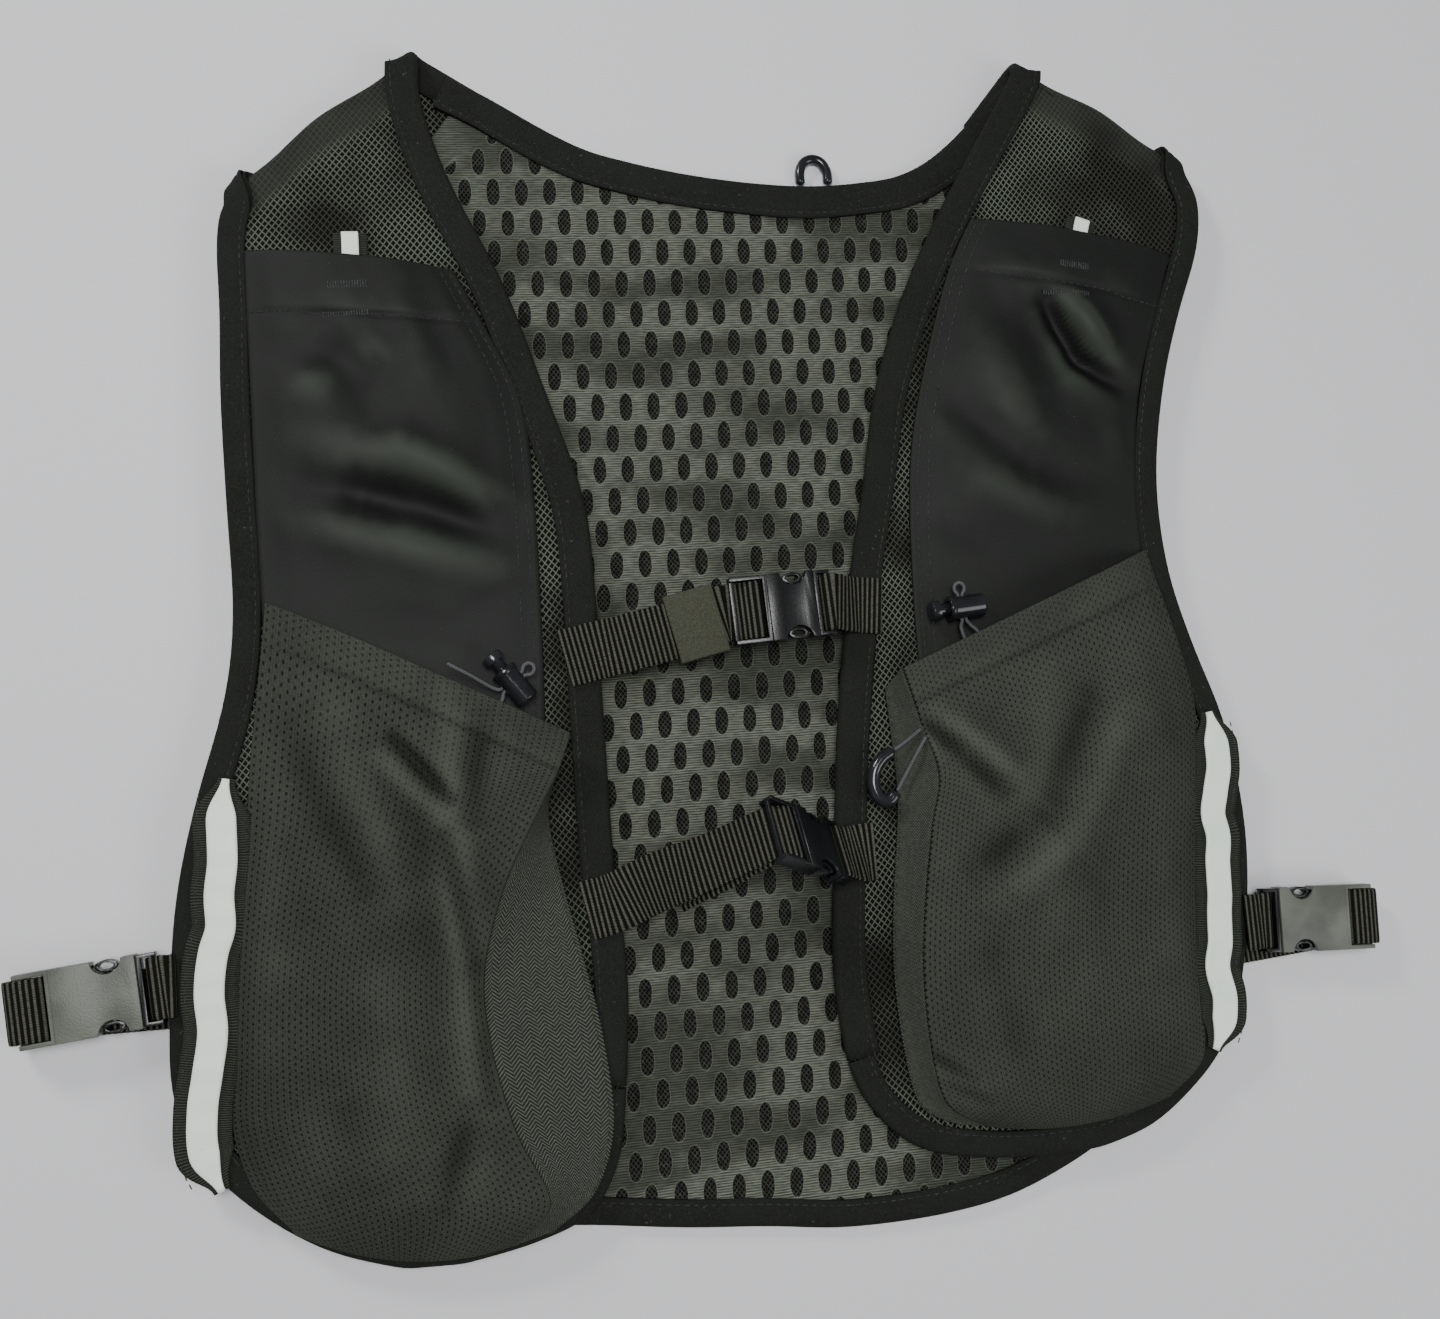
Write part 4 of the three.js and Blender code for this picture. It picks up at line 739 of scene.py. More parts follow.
frontColumns = "outerX outerY innerX innerY"
fronts = {
    "left": {"turn": 1, "outerDrift": 0.7, "innerDrift": 0.35, "rows": table(frontColumns, [
        [-65.6, -49.2, -55.6, -49.4], [-77.8, -47.2, -43.3, -48.5], [-88.9, -43.8, -33.3, -46.8],
        [-97.8, -39.5, -27.8, -43], [-102.2, -34.5, -25.6, -37.5], [-102.2, -28, -23.9, -28.7],
        [-100.6, -20, -25, -18.8], [-96.7, -12.5, -25, -10], [-91.1, -4.5, -25, -2],
        [-88.9, 2.5, -25, 5], [-89.2, 11.2, -26.1, 11.2], [-89.4, 20, -31.7, 20],
        [-88.9, 27, -38.3, 29.5], [-88.9, 32.1, -46.7, 38], [-88.3, 34.8, -51.1, 45],
        [-87.2, 36.1, -51.1, 48.8]])},
    "right": {"turn": -1, "outerDrift": 0.5, "innerDrift": 0.15, "rows": table(frontColumns, [
        [62.2, -46.7, 50, -46.8], [73.3, -45.3, 38.9, -46.3], [83.3, -42.2, 27.8, -45],
        [89.4, -39.2, 20, -42], [93.9, -35, 15.3, -37.5], [97.2, -28, 13.9, -29.5],
        [98.6, -20.5, 16.1, -19.5], [96.7, -12, 18.3, -10.5], [91.7, -4.5, 21.1, -2.5],
        [88.3, 2.5, 23.9, 4], [88.1, 10.5, 27.8, 11.2], [91.7, 18.8, 31.7, 19.2],
        [96.7, 25.5, 38.9, 27.5], [102.2, 31.5, 48.9, 35.8], [103.6, 36, 64.4, 46.8],
        [101.3, 38.8, 66.1, 48.6]])},
}
foldRow = 15
bindingRow = 4
foldLength = math.pi * vest["foldRadius"]
returnEnd = foldRow + foldLength + vest["shoulderReturn"]


def insetEdge(rows, side, row, inset):
    here = edgeAt(rows, side, row)
    before, after = [edgeAt(rows, side, clamp(row + step, 0, foldRow)) for step in (-0.1, 0.1)]
    along = unit(after - before)
    inward = np.stack([along[..., 1], -along[..., 0]], -1)
    other = edgeAt(rows, "inner" if side == "outer" else "outer", row + 1)
    sign = np.where(np.sum(inward * (other - here), -1) < 0, -1.0, 1.0)
    return here + inward * sign[..., None] * inset


def frontSurface(side, inset=0.0):
    front = fronts[side]
    rows, turn = front["rows"], front["turn"]
    outerEnd, innerEnd = edgeAt(rows, "outer", foldRow), edgeAt(rows, "inner", foldRow)
    foldLine = unit(innerEnd - outerEnd)
    outward = np.array([-foldLine[1], foldLine[0]]) * turn
    radius = vest["foldRadius"]

    def at(v, u):
        v, u = np.broadcast_arrays(np.asarray(v, float), np.asarray(u, float))
        row = clamp(v, 0, foldRow)
        share = u[..., None]
        outer, inner = [insetEdge(rows, edge, row, inset) for edge in ("outer", "inner")]
        flat = outer * (1 - share) + inner * share
        straight = inset / np.linalg.norm(innerEnd - outerEnd)
        shareOn = straight + share * (1 - 2 * straight)
        onRow = edgeAt(rows, "outer", row) * (1 - shareOn) + edgeAt(rows, "inner", row) * shareOn
        near = clamp(row - (foldRow - 1), 0, 1)[..., None]
        flat = flat + (onRow - flat) * near
        start = vest["bulgeStart"]
        clear = smoothStep((u - start) / (0.5 - start)) * smoothStep((1 - start - u) / (0.5 - start))
        flat = flat + outward * (vest["foldBulge"] * clear * smoothStep(row - (foldRow - 2)))[..., None]
        cloth = np.maximum(v - foldRow, 0)
        angle = clamp(cloth / radius, 0, math.pi)
        back = np.maximum(cloth - foldLength, 0)
        drift = front["outerDrift"] * (1 - u) + front["innerDrift"] * u
        over = flat + outward * (radius * np.sin(angle) - back)[..., None]
        over = over + foldLine * (cloth * drift)[..., None]
        folded = np.stack([over[..., 0], over[..., 1], shoulderTop - radius + radius * np.cos(angle)], -1)
        return np.where((v <= foldRow)[..., None], onFront(flat), folded)
    return at


# A binding's section: a strip folded round the cloth's edge, pinched where it is sewn.
sewnIn = 1.8


def bindingSection(width, count, seed=0):
    half, wall = bindingHalf, vest["bindingWall"]
    arc = [(half - half * math.sin(t), half * math.cos(t)) for t in np.linspace(0, math.pi, 9)]
    flatTop = [width, width - 0.7, width - sewnIn, width - 2.7, 0.62 * width, 0.42 * width]
    lift = [-0.3, -0.02, -0.22, 0.05, 0.12, 0.1]
    top = [(x, half + dz) for x, dz in zip(flatTop, lift)]
    bottom = [(x, -half) for x in (0.42 * width, 0.62 * width, width)]
    inner = [(wall + (half - wall) * (1 - math.sin(t)), (half - wall) * math.cos(t))
             for t in np.linspace(math.pi, 0, 5)]
    outline = top + arc + bottom + [(width, wall - half)] + inner + [(width, half - wall)]
    section = np.broadcast_to(np.array(outline), (count, len(outline), 2)).copy()
    k = np.arange(count)
    for n in range(len(top)):  # soft puckers along the sewn side
        size = 0.12 if n > 1 else 0.048
        section[:, n, 1] += size * np.sin(k * 0.9 + seed) * np.sin(k * 0.37 + n * 0.3 + seed)
    section[:, 0, 0] += 0.25 * np.sin(k * 0.31 + seed)
    return section


def relaxed(points, rounds=3):
    points = points.copy()
    for _ in range(rounds):
        points[1:-1] = points[1:-1] * 0.5 + (points[:-2] + points[2:]) * 0.25
    return points


def frontBinding(name, side, route, width, seed):
    surface = frontSurface(side)
    v, u = np.array(route, float).T
    points = relaxed(surface(v, u), 2)
    along = heading(points)
    turn = fronts[side]["turn"]
    alongV = surface(v + 0.02, 0.5) - surface(v - 0.02, 0.5)
    alongU = surface(v, 0.6) - surface(v, 0.4)
    normal = unit(np.cross(alongU, alongV)) * turn
    inward = alongU * np.where(u < 0.5, 1, -1)[:, None]
    inside = np.where((v < 1)[:, None], surface(v + 1, 0.5) - points, inward)
    inside = inside - normal * np.sum(inside * normal, 1, keepdims=True)
    across = relaxed(unit(inside - along * np.sum(inside * along, 1, keepdims=True)), 4)
    across = unit(across - along * np.sum(across * along, 1, keepdims=True))
    up = unit(np.cross(along, across))
    up = up * np.where(np.sum(up * normal, 1) < 0, -1, 1)[:, None]
    section = bindingSection(width, len(points), seed)
    piece = sweptPiece(name, points, across, up, section, paint="binding", slot="binding", node=name)
    front = v <= foldRow
    line = points + across * (width - sewnIn) + up * (bindingHalf - 0.2)
    stitches(name + "_stitches", line[front], up[front])
    return piece


def stations(*spans):
    last = len(spans) - 1
    return np.concatenate([np.linspace(*span, endpoint=k == last) for k, span in enumerate(spans)])


def frontParts(side, seed):
    v = stations((0, foldRow, 91), (foldRow, foldRow + foldLength, 9), (foldRow + foldLength, returnEnd, 8))
    u = np.linspace(0, 1, 49)
    grid = frontSurface(side, vest["seamInset"])(v[:, None], u[None, :])
    away = np.abs(v - foldRow)
    fold = smoothStep((12 - np.linalg.norm(grid - grid[90][None], axis=2)) / 5)
    fold = fold * (away < foldLength + 8)[:, None]
    grid[..., 2] += ripple(grid[..., 0], grid[..., 1], 38, seed) * 0.35 * (1 - fold)
    sheetPiece(f"front_panel_{side}", grid, 0.7, marks={"dense": np.maximum(fold, 0)},
               paint="shoulder_net", slot="shoulder_net", node=f"front_panel_{side}")
    down = [(value, 0) for value in v[::-1]]
    hem = [(0, value) for value in np.linspace(0.12, 0.88, 8)]
    up = [(value, 1) for value in np.linspace(0, bindingRow, 33)]
    frontBinding(f"outer_binding_{side}", side, down + hem + up, vest["bindingWidth"], seed)
    inner = [(value, 1) for value in (bindingRow + vest["seamSplit"], *v[v > bindingRow + 0.05])]
    frontBinding(f"front_binding_{side}", side, inner, vest["frontBindingWidth"], seed + 2)


for side, seed in zip(sides, (1, 5)):
    frontParts(side, seed)
print("front panels and their bindings")

# The back panel: its sides, hem and top, each in percent along its run.
backSides = table("share leftX rightX", [[0, -92.2, 88.9], [0.1, -94.4, 91.1], [0.25, -90.6, 88.9],
                                         [0.4, -81.1, 81.7],
                                         [0.55, -74.4, 78.3], [0.7, -71.1, 79.4], [0.85, -68.9, 82.8],
                                         [1, -66.7, 85.3]])
backHem = table("share y", [[0, -31.2], [0.03, -37], [0.08, -42], [0.16, -45.5], [0.25, -47.2],
                            [0.34, -48.2], [0.42, -49.2], [0.5, -49.9], [0.58, -50.8], [0.68, -50.8],
                            [0.76, -49.9], [0.84, -47.5], [0.9, -44.5], [0.96, -39.5], [1, -32.5]])
backTop = table("share y", [[0, 35.9], [0.1, 41], [0.2, 46.1], [0.24, 43.9], [0.3, 41.6], [0.4, 39.8],
                            [0.5, 38.7], [0.6, 38.3], [0.7, 39], [0.75, 40.4], [0.8, 42.9],
                            [0.817, 43.9], [0.9, 40.2], [1, 35.9]])
back = {"neckStart": 0.2, "neckEnd": 0.817, "seamShare": 0.985, "neckPast": 0.012, "hemInset": 0.015}
cornersUnderBindings = ((back["neckStart"] - 0.065, 9), (back["neckEnd"] + 0.02, 2))


def backSurface(v, u):
    v, u = np.broadcast_arrays(np.asarray(v, float), np.asarray(u, float))
    left, right = profileAt(backSides, "share", "leftX", v), profileAt(backSides, "share", "rightX", v)
    hem, top = profileAt(backHem, "share", "y", u), profileAt(backTop, "share", "y", u)
    x, y = (left * (1 - u) + right * u) * percent[0], (hem * (1 - v) + top * v) * percent[1]
    return np.stack([x, y, np.full_like(x, backMiddle)], -1)


backOutline = np.concatenate([
    backSurface(0, backHem["share"]), backSurface(backSides["share"][1:], 1),
    backSurface(1, backTop["share"][::-1][1:]), backSurface(backSides["share"][::-1][1:-1], 0)])


def distanceToEdge(points):
    best = np.full(points.shape[:-1], 1e9)
    for a, b in zip(backOutline, np.roll(backOutline, -1, axis=0)):
        line = b - a
        t = clamp(np.sum((points - a) * line, -1) / np.dot(line, line), 0, 1)
        best = np.minimum(best, np.linalg.norm(points - a - t[..., None] * line, axis=-1))
    return best


# Ovals of the spacer fabric, in staggered rows; each is a shallow well.
def ovalDepth(x, y):
    cells = spacerCells
    across = (x + y * cells["turn"] - cells["x"]) / cells["across"]
    up = (y - cells["y"]) / cells["up"]
    row = np.floor(up)
    across = across + 0.5 * np.mod(row, 2)
    dx = (across - np.floor(across) - 0.5) * cells["across"]
    dy = (up - row - 0.5) * cells["up"]
    reach = np.sqrt((dx / cells["wide"]) ** 2 + (np.abs(dy) / cells["tall"]) ** cells["square"])
    return 1 - smoothStep((reach - cells["rim"]) / cells["slope"])


def backParts():
    width = np.linalg.norm(backSurface(0.7, 0) - backSurface(0.7, 1))
    height = np.linalg.norm(backSurface(0, 0.5) - backSurface(1, 0.5))
    insetU, insetV = 1.4 * vest["seamInset"] / width, 1.5 * vest["seamInset"] / height
    v = insetV + np.linspace(0, 1, 241) * (1 - 2 * insetV)
    u = insetU + np.linspace(0, 1, 205) * (1 - 2 * insetU)
    grid = backSurface(v[:, None], u[None, :])
    for corner, reach in cornersUnderBindings:
        nearCorner = np.exp(-(((u[None, :] - corner) / 0.035) ** 2)) * smoothStep((v[:, None] - 0.86) / 0.14)
        grid[..., 1] += reach * nearCorner
    bound = vest["neckBindingWidth"] + 8 * vest["gap"]
    full = smoothStep((distanceToEdge(grid) - bound) / vest["spacerRamp"])
    thick = vest["cloth"] + (vest["spacer"] - vest["cloth"]) * full
    floorSide = grid[..., 2] - (backMiddle - vest["spacer"] / 2) * full - thick / 2
    x, y = grid[..., 0], grid[..., 1]
    inside = smoothStep((distanceToEdge(grid) - 6) / 4)
    hole = ovalDepth(x, y) * inside
    swell = (ripple(x, y, 60, 3) * 0.9 + ripple(x, y, 27, 8) * 0.35) * full
    top = floorSide + thick + swell * (thick > 2) - hole * 1.15 * (0.3 + 0.7 * full)
    thick = np.maximum(top - floorSide, 0.5)
    grid[..., 2] = floorSide + thick / 2
    sheetPiece("back_panel", grid, thick, marks={"inside": inside}, paint="spacer_mesh", slot="spacer_mesh",
               node="back_panel")
    seam = back["seamShare"]
    sideRun = np.linspace(seam, 0, 70)
    hemRun = np.linspace(back["hemInset"], 1 - back["hemInset"], 90)
    route = [(s, 0) for s in sideRun] + [(0, s) for s in hemRun] + [(s, 1) for s in sideRun[::-1]]
    backBinding("back_binding", route, vest["bindingWidth"], 4)
    past = back["neckPast"]
    neck = [(1, s) for s in np.linspace(back["neckStart"] - past, back["neckEnd"] + past, 110)][::-1]
    backBinding("neck_binding", neck, vest["neckBindingWidth"], 7, neckEnds)


# Where the neck binding runs on to the shoulders, over the ends of the front's own binding.
neckEnds = (
    ((118.5, 192, 3.2), (113.5, 187, 2.9), (107.8, 181.6, 2.4)),
    ((-69.2, 184.6, 2.4), (-76.6, 188.4, 2.9), (-82.6, 191.4, 3.2)),
)


def backBinding(name, route, width, seed, ends=((), ())):
    v, u = np.array(route, float).T
    points = backSurface(v, u)
    if ends[0]:
        points = smoothPath(np.vstack([ends[0], points[4:-4:6], ends[1]]), 2.2)
    points = relaxed(points, 3)
    along = np.gradient(points, axis=0)
    across = unit(np.stack([-along[:, 1], along[:, 0], np.zeros(len(points))], 1))
    up = np.broadcast_to((0.0, 0.0, 1.0), points.shape)
    section = bindingSection(width, len(points), seed)
    sweptPiece(name, points, across, up, section, paint="binding", slot="binding", node=name)
    stitches(name + "_stitches", points + across * (width - sewnIn) + up * (bindingHalf - 0.2), up)


backParts()
print("back panel and its bindings")

# The pockets: outlines in percent, sections across them, and their folds in millimetres.
pocketColumns = "outerX outerY innerX innerY depth"
upperPockets = {
    "left": table(pocketColumns, [[-83.6, -3, -36, -9.5, 0.15], [-83.8, 3.5, -35.4, -1.5, 0.3],
                                  [-84, 10.5, -35.1, 9.5, 0.85], [-84, 18.8, -36.2, 18.8, 1],
                                  [-84, 26, -41.8, 25.1, 0.95], [-83.9, 32, -47.2, 30.2, 0.8]]),
    "right": table(pocketColumns, [[82.5, -2, 35.5, -8, 0.15], [82.8, 4.2, 35.5, 0.5, 0.3],
                                   [83.3, 11.2, 37, 11.2, 0.85],
                                   [86.2, 18.8, 40.6, 18.8, 1], [91.6, 25.8, 48.2, 29, 0.95],
                                   [95.6, 30.9, 54.4, 34.4, 0.8]]),
}
upperSection = table("share height", [[0, 0], [0.12, 0.45], [0.3, 0.9], [0.5, 1], [0.7, 0.9],
                                      [0.88, 0.45], [1, 0]])
upperFolds = {
    "left": [(-148, 96, -108, 84, 7, -1.2), (-140, 78, -112, 92, 6, 1.0), (-128, 100, -112, 70, 8, -1.4),
             (-118, 46, -66, 28, 8, -3.2), (-104, 60, -64, 34, 7, 2.0), (-150, 52, -112, 42, 8, -1.6),
             (-146, 66, -108, 58, 9, 1.1), (-140, 36, -70, 20, 9, 1.4), (-76, 42, -63, 30, 4, -1.6),
             (-86, 8, -63, 14, 4, -1.0), (-120, 6, -86, 0, 6, -1.5), (-96, 112, -88, 88, 6, -0.8)],
    "right": [(121, 105, 131, 84, 4, -3.2), (131, 84, 151, 72, 4.4, -3.2), (130, 103, 142, 86, 6, 2.6),
              (112, 100, 120, 74, 8, -0.9), (92, 92, 112, 60, 9, 0.9), (74, 78, 104, 50, 7, -1.2),
              (110, 44, 146, 36, 8, -1.3), (84, 44, 122, 28, 9, 1.1), (140, 62, 154, 40, 7, 0.8),
              (66, 30, 90, 20, 5, -1.0), (96, 118, 104, 96, 7, -0.7)],
}
mouthHem = {"upperAt": 20.5, "bottleAt": 12.5, "lip": 0.55, "groove": -0.5}
foldGain = 1.9
unevenness = ((30, 0.7, 0), (9, 0.1, 2))


def pocketGrid(rows, section, depth, lift, count, seed, creases, mouth, reach=0, sag=0):
    lastRow = len(rows["depth"]) - 1
    v = np.linspace(0, lastRow, count[0])
    u = np.linspace(0, 1, count[1])
    V, U = v[:, None], u[None, :]
    flat = edgeAt(rows, "outer", V) * (1 - U[..., None]) + edgeAt(rows, "inner", V) * U[..., None]
    beside = smoothStep(V) * smoothStep((lastRow - V) / 2)
    flat[..., 0] += reach * beside * (1 - U) ** 3
    flat[..., 1] -= sag * (1 - smoothStep(V / 2)) * 4 * U * (1 - U)
    swell = depth * column(rows, "depth", V) * profileAt(section, "share", "height", U)
    tuck = 1.0 * beside * smoothStep((0.09 - U) / 0.09) * (reach != 0)
    grid = onFront(flat, lift + swell - tuck)
    x, y = grid[..., 0], grid[..., 1]
    loose = np.clip(swell / depth, 0.12, 1)
    change = folds(x, y, creases) * foldGain
    for size, height, more in unevenness:
        change = change + ripple(x, y, size, seed + more) * height
    toMouth = np.linalg.norm(grid[..., :2] - grid[-1, :, :2], axis=2)
    line = np.exp(-((toMouth - mouth) ** 2))
    change = change + mouthHem["groove"] * line + mouthHem["lip"] * smoothStep((mouth - toMouth) / 2)
    shade = hollows(change * loose)
    grid[..., 2] += change * loose
    width = np.linalg.norm(grid[count[0] // 2, 0] - grid[count[0] // 2, -1])
    height = steps(grid[:, count[1] // 2]).sum()
    uv = np.stack(np.broadcast_arrays(U * width, V / lastRow * height), 2)
    return grid, uv, toMouth, shade


# How far each point lies under or over the cloth around it, for painted shade in the folds' hollows and
# painted highlight on their ridges.
def hollows(level, spread=26):
    around = level
    for _ in range(spread):
        edged = np.pad(around, 1, mode="edge")
        around = (edged[:-2, 1:-1] + edged[2:, 1:-1] + edged[1:-1, :-2] + edged[1:-1, 2:]) / 4
    change, least = level - around, 0.05
    return {"hollow": clamp(-change - least, 0, 1), "ridge": clamp(change - least, 0, 1)}


def stitchAcross(name, grid, toMouth, at, slot):
    first, last = [int(share * (grid.shape[1] - 1)) for share in (0.02, 0.98)]
    line = []
    for k in range(first, last + 1):
        row = int(np.argmin(np.abs(toMouth[:, k] - at)))
        line.append(grid[row, k] + (0, 0, vest["cloth"] / 2 - 0.05))
    stitches(name, relaxed(np.array(line), 4), (0, 0, 1), slot=slot)


def seamDown(name, grid, columnAt, slot):
    line = grid[:, columnAt] + (0, 0, vest["cloth"] / 2 - 0.05)
    stitches(name, relaxed(line, 4), (0, 0, 1), slot=slot)


barTacks = {
    "left": (((-125, 114), (-113, 114.4)), ((-127, 104.8), (-113, 105.2))),
    "right": (((127, 118.6), (137, 117)), ((120, 108.6), (136, 106.6))),
}


def upperPocket(side, seed):
    mouth = mouthHem["upperAt"]
    grid, uv, toMouth, shade = pocketGrid(upperPockets[side], upperSection, vest["upperDepth"], overPanel,
                                          (121, 71), seed, upperFolds[side], mouth)
    sheetPiece(f"upper_pocket_{side}", grid, 0.9, uv=uv, marks=shade, paint="pocket_cloth",
               slot="pocket_cloth", node=f"upper_pocket_{side}")
    stitchAcross(f"upper_pocket_{side}_hem", grid, toMouth, mouth, "pocket_cloth")
    for number, (start, end) in enumerate(barTacks[side]):
        share = np.linspace(0, 1, 24)[:, None]
        line = np.array(start) * (1 - share) + np.array(end) * share
        cells = grid.reshape(-1, 1, 3)
        near = np.argmin(np.linalg.norm(cells[..., :2] - line, axis=2), axis=0)
        line = np.column_stack([line, relaxed(cells[near, 0, 2] + 0.5, 6)])
        stitches(f"upper_pocket_{side}_tack_{number + 1}", line, (0, 0, 1), pitch=0.85, length=0.6,
                 width=2.3, slot="pocket_cloth")
    seamDown(f"upper_pocket_{side}_seam", grid, 68, "pocket_cloth")
    seamDown(f"upper_pocket_{side}_seam_2", grid, 65, "pocket_cloth")


bottleColumns = "outerX outerY innerX innerY depth seamX seamY"
bottlePockets = {
    "left": table(bottleColumns, [
        [-83, -45.5, -47.2, -48.3, 0, -40, -47.6], [-88, -41.5, -40.6, -45.2, 0.55, -32.5, -45],
        [-90.6, -37, -45.6, -39.5, 0.85, -28.5, -40], [-90, -32.5, -48.9, -33, 0.97, -29.4, -33],
        [-88.9, -26.2, -49.4, -27, 1, -31.9, -26.8], [-87.5, -20, -45, -20.5, 1, -34.7, -20.8],
        [-85.9, -13.8, -37.8, -14.5, 0.97, -36.4, -15.8], [-84.9, -6.2, -34.4, -11.8, 0.93, -35.6, -13.2],
        [-83.1, 3, -31.9, -9, 0.95, -33.6, -10.8]]),
    "right": table(bottleColumns, [
        [76.7, -43, 40, -43.6, 0, 34.4, -43.2], [82, -40, 32.2, -41.2, 0.55, 28, -41.4],
        [83, -35, 29.7, -36.2, 0.85, 25.8, -36.6], [83.5, -29.5, 29.4, -30, 0.97, 25.2, -30.2],
        [84.7, -23.8, 31.1, -24, 1, 26.4, -24.2], [86.7, -17, 33.3, -18.8, 1, 28, -19.4],
        [87.8, -10.5, 35.6, -14.5, 0.97, 28.8, -15.4], [86.5, -3.8, 33.3, -10.2, 0.93, 28.6, -11.4],
        [83.3, 3.8, 30.5, -5.5, 0.95, 28.1, -7]]),
}
bottleSection = table("share height", [[0, 0], [0.08, 0.42], [0.2, 0.8], [0.4, 1], [0.6, 0.98],
                                       [0.8, 0.9], [1, 0.72]])
gussetSection = table("share height", [[0, 0.72], [0.25, 0.48], [0.6, 0.18], [1, 0]])
gussetDrop = vest["cloth"] + 1.5 * vest["gap"]
bottleFolds = {
    "left": [(-145, -31, -124, -79, 7, -1.6), (-98, -66, -91, -106, 3.5, -1.4),
             (-91, -106, -88, -148, 3.5, -1.4), (-112, -34, -96, -54, 2.6, -1.8),
             (-116, -40, -100, -60, 4, 1.2), (-95, -22, -95, -150, 7, 1.8),
             (-84, -30, -90, -60, 5, -1.4), (-106, -60, -104, -150, 8, -1.3),
             (-130, -20, -112, -80, 9, 1.2), (-146, -30, -138, -110, 10, -1.0),
             (-120, -110, -112, -170, 9, 1.0), (-150, -60, -158, -140, 8, 0.9),
             (-96, -150, -104, -178, 5, -1.5), (-134, -140, -128, -176, 7, -1.2)],
    "right": [(60, -40, 70, -49, 3, -1.8), (70, -49, 84, -65, 4, -1.4), (66, -38, 88, -60, 5, 1.4),
              (118, -38, 100, -72, 7, -2.0), (100, -72, 74, -90, 7, -2.2),
              (130, -42, 108, -84, 8, 1.6), (104, -84, 82, -99, 8, 1.6),
              (136, -60, 130, -130, 9, -1.2), (100, -30, 94, -110, 10, 1.2),
              (120, -20, 116, -120, 10, -1.0), (140, -30, 136, -120, 9, 0.9),
              (52, -148, 66, -158, 2.4, -1.3), (56, -158, 72, -166, 2.4, -1.2),
              (76, -120, 84, -160, 7, -1.0)],
}


bottleReach = {"left": {"reach": -3.4, "sag": 6}, "right": {"reach": 4.2, "sag": 4.5}}


def bottlePocket(side, seed):
    rows = bottlePockets[side]
    mouth = mouthHem["bottleAt"]
    grid, uv, toMouth, shade = pocketGrid(rows, bottleSection, vest["bottleDepth"], overBinding,
                                          (171, 91), seed, bottleFolds[side], mouth, **bottleReach[side])
    dense = smoothStep((mouth - toMouth) / 1.5) * 0.3
    sheetPiece(f"bottle_pocket_{side}", grid, 1.0, uv=uv, marks={"dense": dense, **shade},
               paint="pocket_knit", slot="pocket_knit", node=f"bottle_pocket_{side}")
    stitchAcross(f"bottle_pocket_{side}_hem", grid, toMouth, mouth, "pocket_knit")
    v = np.linspace(0, 8, 121)[:, None]
    u = np.linspace(0, 1, 27)[None, :]
    flat = edgeAt(rows, "inner", v) * (1 - u[..., None])
    flat = flat + edgeAt(rows, "seam", v) * u[..., None]
    swell = vest["bottleDepth"] * column(rows, "depth", v) * profileAt(gussetSection, "share", "height", u)
    gusset = onFront(flat, overBinding + swell - gussetDrop * (1 - u) * smoothStep(v))
    gusset[..., 2] += ripple(gusset[..., 0], gusset[..., 1], 18, seed) * 0.25 * clamp(swell / 4, 0, 1)
    uv = np.stack(np.broadcast_arrays(u * 26, v * 19), 2)  # about its width, and millimetres to a row
    sheetPiece(f"pocket_gusset_{side}", gusset, 1.0, uv=uv, paint="gusset",
               slot="pocket_knit", node=f"pocket_gusset_{side}")
    line = relaxed(gusset[:, 25], 3) + (0, 0, 0.55)
    stitches(f"pocket_gusset_{side}_seam", line, (0, 0, 1), slot="pocket_knit")


for number, side in enumerate(sides):
    upperPocket(side, 2 + 4 * number)
    bottlePocket(side, 3 + 4 * number)
print("pockets")

# Tapes down the outer edges, and the pull tabs at the upper pockets' mouths.
tape = {
    "width": 17.4, "stripe": 9, "thick": 1,
    "tabWidth": 11, "tabStripe": 5.5, "tabLength": 11, "tabBite": 5,
}
tapeRoutes = {
    "left": [[-91, -10.6], [-92, -13], [-92.2, -17], [-93, -19.5], [-93, -22], [-94.4, -23.9],
             [-95.3, -26.8], [-95, -29.8], [-96, -32.5], [-97.2, -35.5], [-97.2, -38.8],
             [-94.6, -41.6]],
    "right": [[92.5, -10.8], [93.3, -13.2], [93.3, -15.5], [91.9, -18], [91, -19.8], [91.6, -21.5],
              [90.9, -24], [90.6, -26.5], [90, -28.8], [89.7, -30.5], [88.6, -32.8], [89.4, -35.2],
              [88.7, -37.5], [86.4, -39.6]],
}


def roundedStrip(width, thick, crown=0.0):
    half, side = thick / 2, width / 2
    across = np.array([-1, -0.97, -0.8, -0.4, 0, 0.4, 0.8, 0.97, 1])
    level = half * np.array([0.3, 0.85, 1, 1, 1, 1, 1, 0.85, 0.3])
    top = np.stack([across * side, level + crown * (1 - across**2)], 1)
    under = np.stack([across[::-1] * side, -level], 1)
    return np.concatenate([under, top])


